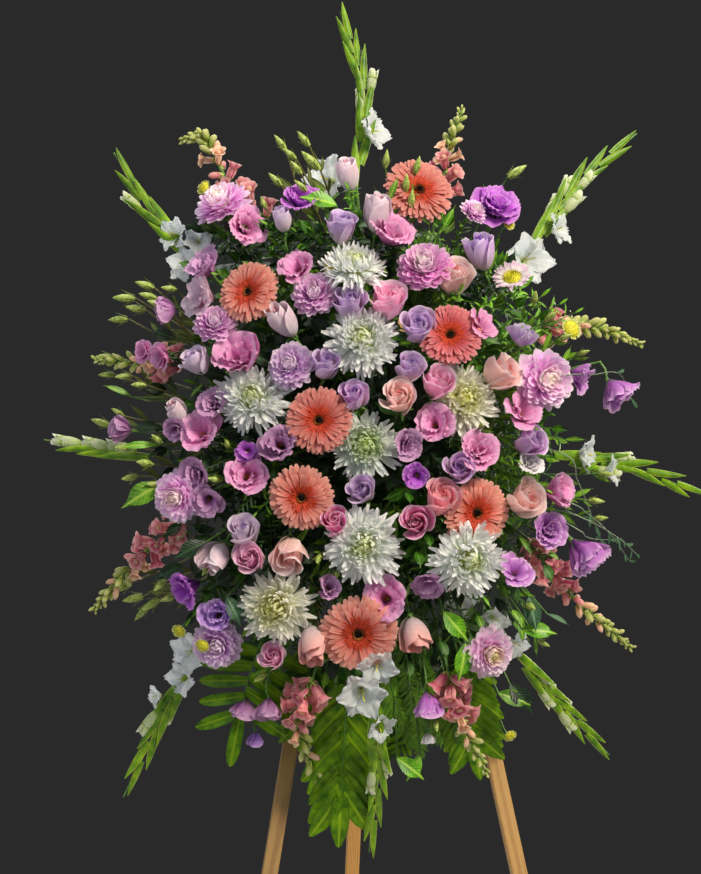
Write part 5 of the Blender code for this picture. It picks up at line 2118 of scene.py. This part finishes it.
    def crown(self) -> None:
        """Leafy sprigs that fill the outline high at both sides and low at the left."""
        choices = (
            (self.lance, LEAF_MID, 0.045), (self.ovate, LEAF_DARK_PAINTED_SHADE, 0.050), (self.lance, LEAF_BRIGHT, 0.034),
            (self.ovate, LEAF_DUSK, 0.048),
        )
        made = Assembly("crown_sprigs", random.Random("crown"))
        for i in range(self.crown_sprigs):
            share, height = (i * step % 1.0 for step in EVEN_STEPS)
            if i % 4 == 3:
                x, z = -36 + 12 * share, 102 - 20 * height
            else:
                x, z = -35 + 54 * share, 143 + 10 * height * (1 - abs(share - 0.5) * 0.8)
            tip = PLAN.front(x, z, -2.6 + made.vary(1.0))
            foot = tip.lerp(PLAN.stem_end(x, z), 0.38)
            kind, finish, size = made.dice.choice(choices)
            self.sprig(made, kind[finish], foot, tip, 13, size)
        for x, z in ((20, 139.5), (23.5, 138), (27, 136.8), (30, 135.5), (24, 133)):
            tip = PLAN.front(x, z, -2.0)
            foot = tip.lerp(PLAN.stem_end(x, z), 0.38)
            self.sprig(made, self.lance[LEAF_BRIGHT], foot, tip, 16, 0.036)
        settle(made.name, made.parts)

    def palm_fronds(self) -> None:
        """The palm fronds that hang at the bottom of the spray."""
        dice = random.Random("palm")
        face = Vector((-0.1, -1, 0.15))
        for palm in self.palms:
            made = Assembly(palm.node, dice)
            points = PLAN.hung(palm.line)
            foot = PLAN.stem_end(palm.line[0][0], palm.line[0][1])
            petiole = [foot, foot.lerp(points[0], 0.6), points[0]]
            made.parts.append(tube("petiole", petiole, [2.2 * MM] * 3, STALK))
            leaflet = self.broad_strap if palm.broad else self.strap[PALM_OLIVE]
            self.frond(made, leaflet, smooth_line(points, 14), palm.pairs, palm.size, face, palm.rake,
                       palm.shape, palm.disorder, 2.0 * MM)
            settle(palm.node.replace("palm_frond", "cut_palm"), made.parts, palm.node)

    def undergrowth(self) -> None:
        """Ferns, a second palm and broad leaves, most of them near-black with painted shade, that close the
        view under the lowest flowers.
        """
        ferns = (
            (FERN_LIGHT, (0.5, 80), (-1.5, 70), (-2.5, 61)),
            (FERN_GREEN, (2.0, 82), (2.5, 70), (1.5, 60)),
            (FERN_LIGHT, (5.0, 80), (6.0, 71), (5.0, 62.5)),
            (FERN_GREEN, (8.0, 80), (9.5, 71), (10.5, 62)),
            (FERN_LIGHT, (-3.0, 80), (-6.0, 70), (-6.5, 60)),
            (FERN_GREEN, (-6.0, 82), (-12.0, 74), (-15.0, 64)),
            (FERN_GREEN, (-12.0, 82), (-17.0, 75), (-20.0, 67)),
            (FERN_GREEN, (11.0, 82), (13.0, 74), (13.5, 64)),
            (FERN_GREEN, (-16.0, 84), (-23.0, 79), (-29.0, 74)),
            (FERN_LIGHT, (1.0, 76), (3.5, 66), (4.0, 59.5)),
            (FERN_LIGHT, (7.0, 77), (7.5, 68), (7.8, 61.5)),
            (FERN_GREEN, (3.5, 76), (0.5, 65), (-1.0, 58.5)),
            (FERN_LIGHT, (-2.0, 74), (0.5, 67), (3.0, 61.5)),
            (FERN_LIGHT, (9.0, 75), (8.0, 67), (6.5, 62)),
        )
        made = Assembly("undergrowth", random.Random("undergrowth"))
        dice = made.dice
        for number, (finish, *places) in enumerate(ferns):
            line = smooth_line(PLAN.hung(tuple((x, z, -25 + 1.5 * (number % 3)) for x, z in places)), 14)
            face = Vector((dice.uniform(-0.4, 0.4), -1, 0.2))
            self.frond(made, self.pinna[finish], line, 30, 0.042, face, 0.6, (0.9, 1.0, 0.9, 0.7, 0.3), 0.12)
        second = smooth_line(PLAN.hung(((-14.0, 80, -25), (-15.5, 72, -25), (-16.0, 66, -24))), 14)
        self.frond(made, self.strap[PALM_OLIVE], second, 6, 0.075, Vector((0.2, -1, 0.2)), 0.9,
                   (0.9, 1.0, 1.0, 0.95, 0.8), 0.14)
        fan = smooth_line(PLAN.hung(((3.0, 68, -24), (1.5, 63, -24), (0.6, 60.5, -24))), 8)
        self.frond(made, self.strap[PALM_BRIGHT], fan, 4, 0.042, Vector((0, -1, 0.1)), 0.8, disorder=0.1)
        choices = (
            (self.ovate, LEAF_DARK_PAINTED_SHADE), (self.ovate, LEAF_DARK_PAINTED_SHADE), (self.ovate, LEAF_DUSK), (self.lance, LEAF_MID)
        )
        for i in range(self.dark_leaves):
            share, height = (i * step % 1.0 for step in EVEN_STEPS)
            place = PLAN.hung(((-19 + 40 * share, 86 - 12 * height, -23 + dice.uniform(-2, 2)),))[0]
            turn = math.radians(-90 + dice.uniform(-70, 70))
            out = Vector((math.cos(turn), -0.3, math.sin(turn))).normalized()
            kind, finish = dice.choice(choices)
            face = Vector((made.vary(0.4), -1, 0.4)).normalized()
            pose = leaf_pose(place, out, face, dice.uniform(0.055, 0.085))
            made.add(kind[finish], pose, 1.0 + made.vary(0.2))
        settle(made.name, made.parts)

    def broad_leaves(self) -> None:
        """Single broad leaves on short stalks, between the flowers."""
        places = (  # x and z in cm, length in cm, direction in degrees
            (-11.5, 152.5, 6.5, 160, self.ovate, LEAF_BRIGHT),
            (-25.0, 83.5, 5.5, 100, self.ovate, LEAF_MID), (-33.0, 97.0, 6.0, 200, self.ovate, LEAF_DARK_PAINTED_SHADE),
            (16.5, 71.0, 6.0, -15, self.ovate, LEAF_MID), (18.5, 72.5, 6.5, -50, self.ovate, LEAF_DARK_PAINTED_SHADE),
            (-40.0, 106.5, 8.0, 203, self.ovate, LEAF_MID),
            (-41.0, 113.0, 6.5, 178, self.lance, LEAF_BRIGHT),
            (6.0, 85.5, 6.5, -50, self.ovate, LEAF_BRIGHT),
            (10.0, 80.0, 6.5, -100, self.ovate, LEAF_BRIGHT),
            (20.0, 82.0, 6.0, 0, self.ovate, LEAF_BRIGHT),
            (-0.5, 60.0, 6.0, -35, self.ovate, LEAF_BRIGHT),
            (3.5, 60.2, 5.0, -120, self.ovate, LEAF_BRIGHT),
            (-45.0, 121.0, 5.5, 150, self.lance, LEAF_MID), (21.0, 87.5, 6.0, -80, self.ovate, LEAF_GREY),
            (24.5, 84.5, 4.5, -20, self.lance, LEAF_GREY), (-29.5, 88.0, 5.5, -60, self.ovate, LEAF_GREY),
            (-3.0, 153.0, 5.0, 70, self.lance, LEAF_MID), (5.5, 148.0, 5.5, 60, self.lance, LEAF_BRIGHT),
        )
        made = Assembly("broad_leaves", random.Random("broad"))
        for x, z, length, angle, kind, finish in places:
            place = PLAN.front(x, z, -0.5)
            foot = PLAN.stem_end(x, z)
            line = smooth_line([foot, foot.lerp(place, 0.6), place], 6)
            made.parts.append(tube("leaf_stalk", line, [1.5 * MM] * 6, STALK, 4))
            turn = math.radians(angle)
            out = Vector((math.cos(turn), -0.35, math.sin(turn))).normalized()
            face = Vector((made.vary(0.3), -1, 0.5 + made.vary(0.2))).normalized()
            made.add(kind[finish], leaf_pose(place, out, face, length * CM), 1.0 + made.vary(0.1))
        settle(made.name, made.parts)

    def bud_sprays(self) -> None:
        """Green buds on thin leafy stems, round the edge and between the flowers."""
        places = (  # x and z in cm, length in cm
            (-21.5, 157, 3.2), (-20.4, 163.6, 3.4), (-19.0, 161.5, 3.0), (-16.6, 164.2, 3.4),
            (-18.0, 159, 3.0), (-15.6, 160.2, 4.6), (-17.4, 155.8, 3.0), (-3.1, 160.5, 3.2),
            (2.1, 159.5, 3.2), (0.0, 156.3, 3.4), (0.8, 153.6, 3.4), (20, 159.5, 4.0), (-23.5, 153, 2.4),
            (-29.7, 113.2, 2.6), (-31.7, 107.4, 3.0), (11.6, 116.2, 2.0), (-15, 94.5, 2.8),
            (-24, 74.5, 3.0), (21, 86, 3.6), (-46.5, 138.2, 4.2), (-43, 140, 3.6), (-41, 136.5, 3.6),
            (-42.5, 138, 3.4), (-44.5, 136, 3.8), (-39, 139, 3.0), (-47.5, 134.5, 3.6), (-50, 128, 3.4),
            (-46.5, 124.5, 3.2), (-49.5, 125.0, 3.0), (-44, 123, 2.8), (-50.5, 116.8, 3.6),
            (-47.5, 118.5, 2.8), (-46.5, 112.5, 3.6), (-43, 110, 3.8), (-41.0, 114.0, 3.0),
            (-45.5, 107.5, 3.4), (-41.5, 106.5, 3.2), (-47, 88.5, 4.2), (-45, 86.5, 4.0), (-42, 86, 4.0),
            (-39, 87.5, 3.4), (-43.5, 84.0, 3.6), (-33, 92.5, 3.2), (-40.5, 89.5, 3.4), (35.0, 108, 2.8),
            (33, 103.5, 3.0), (34, 100.5, 2.8), (5.5, 66, 2.8), (20, 91, 2.6), (-12, 92, 2.4),
            (24, 79.5, 2.6), (24.5, 134.5, 3.0), (27.0, 131.0, 2.8), (21.5, 137.5, 3.0),
            (30.5, 128.5, 2.6),
        )
        made = Assembly("bud_sprays", random.Random("bud_sprays"))
        dice = made.dice
        for x, z, length in places:
            middle = PLAN.front(x, z, 1.0)
            foot = PLAN.stem_end(x, z)
            stray = Vector((dice.uniform(-0.03, 0.03), 0, 0.015 if z > 150 else -0.02))
            bend = foot.lerp(middle, 0.62) + stray
            rise = dice.uniform(0.8, 1.6) if z > 150 else dice.uniform(-0.2, 0.4)
            aside = -1.6 if z > 154 and x < -13 else 3.0 if z > 154 and x > 15 else 0.0
            if x < -38 and z > 122:
                aside, rise = -0.9, rise - 0.5
            way = Vector((aside + dice.uniform(-0.4, 0.4), -0.1, rise))
            way = ((middle - bend).normalized() + way).normalized()
            tip = middle - way * length * CM * 0.5
            line = smooth_line([foot, bend, tip], 9)
            dusky = x < -35 or (z > 154 and x < -13)
            stem, leaf = (OLIVE_STALK, OLIVE_LEAF) if dusky else (STALK, LEAF_MID)
            made.parts.append(tube("bud_stem", line, [1.5 * MM] * 9, stem, 4))
            made.add(self.bud, aim(tip, way) @ Matrix.Scale(length * CM, 4), 1.0 + made.vary(0.15))
            sparse = dusky or z > 150
            for share, hand in ((0.80, 1), (0.64, -1)) if sparse else ((0.95, 1), (0.84, -1), (0.70, 1)):
                place, forward, aside, front = frame_on(line, share)
                out = (forward * 1.5 + aside * hand * 0.8 + front * made.vary(0.6)).normalized()
                size = (0.026 + 0.060 * (1 - share)) * dice.uniform(0.7, 1.4)
                made.add(self.lance[leaf], leaf_pose(place, out, front, size), 1.0 + made.vary(0.25))
        settle(made.name, made.parts)

    def bare_stems(self) -> None:
        """Thin grey-green stems that bend out at the right, each with a few narrow leaves."""
        lines = (
            ((27, 102), (33, 99.5), (38.5, 96.8), (43.8, 93.6)),
            ((26, 104), (31, 101.5), (36.5, 97.5), (42.5, 92.4)),
            ((27, 100), (31, 97.5), (34.5, 96.8), (39.5, 96.6)),
            ((24, 124), (32, 124.8), (38.0, 125.2), (41.4, 121.0)),
            ((25, 112), (29, 107), (32, 101), (34, 97.0)),
        )
        made = Assembly("bare_stems", random.Random("bare"))
        for places in lines:
            foot = PLAN.stem_end(*places[0])
            line = smooth_line([foot] + [PLAN.front(x, z, 1.0) for x, z in places], 16)
            radii = [1.4 * MM - 0.06 * MM * i for i in range(16)]
            made.parts.append(tube("bare_stem", line, radii, GREY_STALK, 4))
            for share in (0.72, 0.84, 0.93, 1.0):
                place, forward, aside, front = frame_on(line, share)
                out = (forward + aside * made.vary(0.9) + front * 0.2 - Vector((0, 0, 0.3))).normalized()
                pose = leaf_pose(place, out, front, made.dice.uniform(0.022, 0.038))
                made.add(self.lance[LEAF_GREY], pose, 1.0 + made.vary(0.2))
        settle(made.name, made.parts)


# In each table, a finish comes before the spots that take it, in the order of planting

# The top gerbera and the one left of the middle take the darker copy, painted shade; the lowest takes the
# lighter copy, painted light.
GERBERA_SPOTS = (
    (GERBERA_PAINTED_SHADE, (2.4, 155.3, 5.3, 0.05, 0.05, -1.0)), (GERBERA, (-26.0, 138.0, 4.8, -0.3, 0.05)),
    (GERBERA_PAINTED_SHADE, (-15.0, 117.0, 5.1, 0, 0, 0.5)), (GERBERA, (-17.7, 104.5, 5.0)),
    (GERBERA_RED, (6.7, 131.0, 4.9, -0.1, 0.2)), (GERBERA, (11.3, 101.8, 5.3, 0.1, 0, -1.2)),
    (GERBERA_PAINTED_LIGHT, (-8.2, 82.2, 5.8, 0, 0.1, 0.5)),
)
CHRYSANTHEMUM_SPOTS = (
    (MUM_WHITE, (-9.0, 142.0, 4.8, 0, 0.75), (-7.8, 130.0, 5.4), (-25.5, 120.5, 5.2, -0.1, 0.1, -0.5)),
    (MUM_GREEN, (-7.5, 113.0, 5.2, 0, 0, -1.5)), (MUM_CREAM, (9.0, 120.3, 5.0, 0.1, 0, -2.0)),
    (MUM_WHITE, (-7.8, 96.7, 5.6, 0, 0.1, 0.5), (9.4, 94.3, 5.4, 0.1, 0, 1.5)),
    (MUM_CREAM, (-21.6, 86.5, 5.2, -0.1, 0)),
)
DAHLIA_SPOTS = (
    (DAHLIA_PINK, (-30, 153, 4.5, -0.5, 0.5)), (DAHLIA_MAGENTA, (-15.5, 137.5, 3.5)),
    (DAHLIA_ROSE, (2.7, 142, 4.3, 0, 0.2)), (DAHLIA_MAGENTA, (-31.5, 132.7, 3.3)),
    (DAHLIA_MAUVE, (-19.3, 125.8, 3.6)),
    (DAHLIA_PINK, (23, 123.8, 4.7, 0.3, -0.4), (-37.5, 104.5, 4.1, -0.2, -0.3)),
    (DAHLIA_MAUVE, (-31.0, 80.0, 4.0, 0, -0.5)), (DAHLIA_PALE, (14, 78.5, 3.9, 0.1, -0.6)),
    (DAHLIA_PINK, (11.5, 151.8, 2.2, 0.6, 0.3)),
)
ROSE_SPOTS = (
    (ROSE_LAVENDER, (-10.8, 148.5, 2.4, 0, 0.8), (-9.8, 135.8, 2.5), (-13.8, 125.8, 2.2, 0.1, 0.4)),
    (ROSE_DEEP, (-9.2, 120.8, 2.2)),
    (ROSE_LAVENDER, (1.3, 132, 2.6), (-0.3, 125.5, 2.1), (-8, 105.5, 2.2)),
    (ROSE_DEEP, (8, 109, 2.4), (20.3, 113.4, 2.3, 0.6, 0.0)),
    (ROSE_WHITISH, (-27, 98.8, 2.4, 0, 0.3), (-34.4, 126.5, 2.2, -0.6, 0.2)),
    (ROSE_PEACH, (-1.8, 120.5, 2.6), (7.5, 140.5, 2.9), (-19.6, 95.4, 2.7, 0.1, -1.5),
     (15.2, 124.6, 2.8, 0.9, 0.1)),
    (ROSE_SALMON, (5, 104, 2.8)), (ROSE_PEACH, (19.5, 103.8, 2.9, 0.2)),
    (ROSE_PINK, (-3.3, 136.2, 2.9), (4.4, 123, 2.6, 0.2), (-25.6, 94.4, 2.5)),
    (ROSE_HOT, (-12.3, 100.3, 2.2)), (ROSE_PINK, (-21.7, 78, 2.2)), (ROSE_HOT, (1, 100.3, 2.6)),
)
ROSE_BUD_SPOTS = (
    (ROSE_SHELL, (-9.4, 157.5, 2.4, -0.3, 1.8), (-5.0, 150.8, 2.6, 0.1, 1.6)),
    (ROSE_WHITISH, (-20.3, 150, 1.9, -0.1, 1.6)), (ROSE_SHELL, (-31.3, 94.8, 2.3, -0.4, -1.0)),
    (ROSE_BLUSH, (-15.8, 80.5, 2.6, 0, -0.9), (1, 82.2, 2.6, 0.1, -0.9)),
    (ROSE_SHELL, (-37.4, 118.3, 1.7, -0.4, 1.2), (-20.4, 133.0, 2.5, -1.0, 1.2)),
    (ROSE_LAVENDER, (12.4, 144.6, 2.5, -0.4, 1.6)),
)
LISIANTHUS_SPOTS = (
    (LISIANTHUS_PINK, (-26.3, 149, 3.3), (-18, 142, 3.4, 0, 0.3), (-2.6, 148.0, 3.8, 0.1, -0.1),
     (12.3, 132.5, 3.0, 0.4), (-27.3, 127.3, 3.8), (-33.7, 115, 3.7, -0.3), (-26.4, 108, 3.4),
     (3.9, 116.3, 3.4), (11.3, 112, 3.4), (19.1, 118.5, 3.8), (25.3, 105.3, 2.9, 0.9), (-3.9, 88, 3.7)),
    (LISIANTHUS_MAUVE, (-33, 142.5, 3.3, -0.6, 0.5)), (LISIANTHUS_LIGHT, (-33.5, 137.5, 3.5, -0.4)),
    (LISIANTHUS_MAUVE, (-31.8, 119.6, 2.6), (-37.9, 115.6, 2.1, -0.5), (-21.2, 113, 3.0),
     (-32.7, 104, 2.8), (-0.7, 112.9, 2.6)),
    (LISIANTHUS_PINK, (-43, 128.3, 2.2, -0.6), (-40.2, 127.6, 2.2, -0.4)),
    (LISIANTHUS_MAUVE, (3.1, 90.4, 2.7, 0, -0.6), (-13.3, 89.7, 1.9)),
    (LISIANTHUS_ORCHID, (18.2, 92.0, 3.1, 0.2, 0.3)),
    (LISIANTHUS_VIOLET, (-17.5, 153.5, 3.1, 0, 0.3), (15.8, 152.8, 4.0, 0.2, 0.2)),
    (LISIANTHUS_ORCHID, (24.0, 98.6, 3.0, 0.2)), (LISIANTHUS_VIOLET, (-36, 89.3, 3.4, -0.3)),
    (LISIANTHUS_LILAC, (-31.0, 84.8, 2.6, 0, 0.3)), (LISIANTHUS_VIOLET, (1, 108, 2.1)),
    (LISIANTHUS_MAUVE, (-34.6, 108.3, 2.5, -0.3)), (LISIANTHUS_VIOLET, (-26.3, 112, 1.8)),
    (LISIANTHUS_WHITE, (20.5, 109.9, 2.1)), (LISIANTHUS_VIOLET, (15.9, 153.0, 2.9, 0.2, 0.2, 0.9)),
)
CUP_SPOTS = (
    (LISIANTHUS_LILAC, (-24.3, 63, 1.5, 0, -3.0)),
    (LISIANTHUS_MAUVE, (-26.5, 68.6, 2.0, -0.5, -2.2), (-22.3, 68.8, 2.1, 0.4, -2.0)),
    (LISIANTHUS_ORCHID, (4, 69.6, 2.5, 0.1, -2.5)),
    (LISIANTHUS_MAUVE, (-47, 115.5, 2.1, -2.2, 0.2), (-39.5, 135.5, 2.1, -1.8, -0.6)),
    (LISIANTHUS_WHITE, (4.5, 63.6, 1.2, 0, -2.5)), (LISIANTHUS_LAVENDER, (19.3, 131.0, 2.3, 0.2, 1.8)),
)
TRUMPET_SPOTS = (
    (LISIANTHUS_ORCHID, (30.0, 124.6, 2.6, 1.4, -0.8), (37.4, 121.9, 3.4, 0.3, -1.8),
     (31.2, 94.4, 4.0, 0.5, -0.9)),
)
ASTER_RAY = replace(
    DAHLIA_PINK, name="aster_ray", base="#f2e6c8", body="#faf2f6", tip="#f0cce6", core_reach=0.0,
    tip_start=0.75,
)
ASTER_GREEN = replace(MUM_GREEN, name="aster_green_ray", base="#b9cc4a", body="#d4dc7a", tip="#e6ea9c")
ASTER_SPOTS = (
    (ASTER_RAY, (17.8, 140.8, 3.2, -0.5, 0.6)),
)
BUTTON_SPOTS = (
    (ASTER_GREEN, (-33, 156.5, 1.4, -0.3), (-12.7, 142, 1.3), (17.7, 150, 1.1), (28.5, 132.5, 1.9),
     (-37.2, 81.8, 1.3), (-33.5, 80, 1.3, 0, 0, 4.0), (20, 62.5, 1.2)),
)


# Easel, stage and camera -------------------------------------------------------------------------


class Easel:
    """The CAD nodes that stay: battens, hinge, screws and the foam holder."""

    splay = math.atan2(0.259, 1.42)  # the front legs spread this far from upright
    lean = (-math.sin(PLAN.lean), -math.cos(PLAN.lean))
    battens = {  # the way that the grain runs, and the colours of the early and the late wood
        "front_leg_left": ((-math.sin(splay), *lean), "#9c7a46", "#8a693a"),
        "front_leg_right": ((math.sin(splay), *lean), "#b78e52", "#a67e44"),
        "rear_leg": ((0.0, 0.34, -0.94), "#d49c4e", "#bc8640"),
        "upper_rail": ((1.0, 0.0, 0.0), "#b08a52", "#8a6434"),
        "lower_rail": ((1.0, 0.0, 0.0), "#b08a52", "#8a6434"),
        "head_block": ((0.0, *lean), "#b08a52", "#8a6434"),
    }
    plastic = GrainyFinish("moulded_green_plastic", "#1d3a22", "#2a4c2e", 0.8 * MM, 0.05 * MM, 0.5)
    foam = GrainyFinish("wet_floral_foam", "#1c3a22", "#3a6440", 1.2 * MM, 0.6 * MM, 0.95)
    zinc = GrainyFinish("zinc_plated_steel", "#8e8e88", "#b9b9b2", 1.5 * MM, 0.03 * MM, 0.38, 1.0)

    def dress(self) -> None:
        """Gives every kept node its finish."""
        for node, (way, early, late) in self.battens.items():
            self.give(node, PineFinish(f"pine_{node}", way, early, late))
        self.give("foam_tray", self.plastic)
        self.give("foam_block", self.foam)
        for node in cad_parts:
            if "screw" in node or "hinge" in node:
                self.give(node, self.zinc)

    def give(self, node: str, finish: Finish) -> None:
        """Dresses a CAD node in a finish.

        Args:
            node: The node's name.
            finish: The finish.
        """
        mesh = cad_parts[node].data
        mesh.materials.clear()
        mesh.materials.append(finish.material())
        LOG.info("%s: %s", node, finish.name)


class Studio:
    """The plain pale floor, the soft lights and the camera."""

    floor_radius = 1.25
    camera_azimuth = math.radians(-6.5)
    camera_distance = 3.0
    target_from_foam = Vector((-0.092, -0.231, -0.011))
    lens = 74.9  # millimetres, on a sensor 36 wide
    lights = (  # name, place and side in metres, power in watts, colour
        ("key", (1.5, -2.7, 3.3), 1.0, 180.0, "#fff4e2"),
        ("fill", (-2.6, -2.2, 1.6), 2.2, 25.0, "#f2f4ff"),
        ("top", (-0.3, 0.5, 3.4), 1.6, 42.0, "#ffffff"),
        ("rim", (1.9, 1.5, 1.9), 1.2, 28.0, "#fff6ea"),
    )

    def build(self) -> None:
        """Builds the floor, the lights, the backdrop and the camera."""
        deselect_all()
        bpy.ops.mesh.primitive_cylinder_add(
            vertices=128, radius=self.floor_radius, depth=0.02, location=(0.0, 0.06, -0.011)
        )
        floor = bpy.context.active_object
        floor.name = "studio_floor"
        material, shader = new_material("pale_floor", 0.8)
        shader.inputs["Base Color"].default_value = linear("#cfcdc8")
        floor.data.materials.append(material)
        self.world()
        for light in self.lights:
            self.area(*light)
        self.camera()

    def world(self) -> None:
        """A dark plain backdrop to the eye, with soft grey light all round."""
        world = bpy.data.worlds.new("studio")
        world.use_nodes = True
        tree = world.node_tree
        tree.nodes.clear()
        soft = add_node(tree, "Background", {"Color": "#d6dae0", "Strength": 0.27}).outputs[0]
        seen = add_node(tree, "Background", {"Color": "#2a2a2a", "Strength": 1.0}).outputs[0]
        straight = add_node(tree, "LightPath").outputs["Is Camera Ray"]
        mixed = add_node(tree, "MixShader", links={0: straight, 1: soft, 2: seen})
        add_node(tree, "OutputWorld", links={"Surface": mixed.outputs[0]})
        bpy.context.scene.world = world

    def area(self, name: str, place: Place, size: float, power: float, colour: str) -> None:
        """Adds a square soft light that points at the spray.

        Args:
            name: Its name.
            place: Its place in metres.
            size: Its side in metres.
            power: Its power in watts.
            colour: Its hex colour.
        """
        light = bpy.data.lights.new(name, "AREA")
        light.size = size
        light.energy = power
        light.color = linear(colour)[:3]
        lamp = linked(name, light)
        lamp.location = place
        lamp.rotation_euler = (PLAN.middle - Vector(place)).to_track_quat("-Z", "Y").to_euler()

    def camera(self) -> None:
        """Sets the camera on the spray, a little from its left."""
        data = bpy.data.cameras.new("camera")
        data.lens = self.lens
        data.sensor_width = 36.0
        camera = linked("camera", data)
        back = Vector((math.sin(self.camera_azimuth), -math.cos(self.camera_azimuth), 0.0))
        camera.location = PLAN.middle + self.target_from_foam + back * self.camera_distance
        camera.rotation_euler = (math.pi / 2, 0.0, self.camera_azimuth)
        bpy.context.scene.camera = camera
        bpy.context.scene.view_settings.view_transform = "Standard"


def main() -> None:
    """Builds the looks round the frame."""
    logging.basicConfig(level=logging.INFO, format="%(name)s: %(message)s")
    Easel().dress()
    Studio().build()
    beds = (  # kind, places with their finishes, and the CAD nodes that the kind stands for
        (Gerbera(), GERBERA_SPOTS, "gerbera"),
        (Chrysanthemum(), CHRYSANTHEMUM_SPOTS, "white_chrysanthemum"),
        (DahliaMum(), DAHLIA_SPOTS, None),
        (Rose(), ROSE_SPOTS, None),
        (RoseBud(), ROSE_BUD_SPOTS, None),
        (Lisianthus(), LISIANTHUS_SPOTS, None),
        (LisianthusCup(), CUP_SPOTS, None),
        (LisianthusTrumpet(), TRUMPET_SPOTS, None),
        (Aster(), ASTER_SPOTS, None),
        (Button(), BUTTON_SPOTS, None),
    )
    for flower, rows, nodes in beds:
        spots = [(Spot(*place), finish) for finish, *places in rows for place in places]
        for number, (spot, finish) in enumerate(spots, 1):
            flower.plant(spot, finish, nodes and f"{nodes}_{number}")
        LOG.info("%s: %d planted", flower.kind, flower.count)
    Gladiolus().build()
    Snapdragon().build()
    greens = Greens()
    greens.filling()
    greens.collar()
    greens.palm_fronds()
    greens.broad_leaves()
    greens.bud_sprays()
    greens.undergrowth()
    greens.crown()
    greens.bare_stems()


if __name__ == "__main__":
    main()
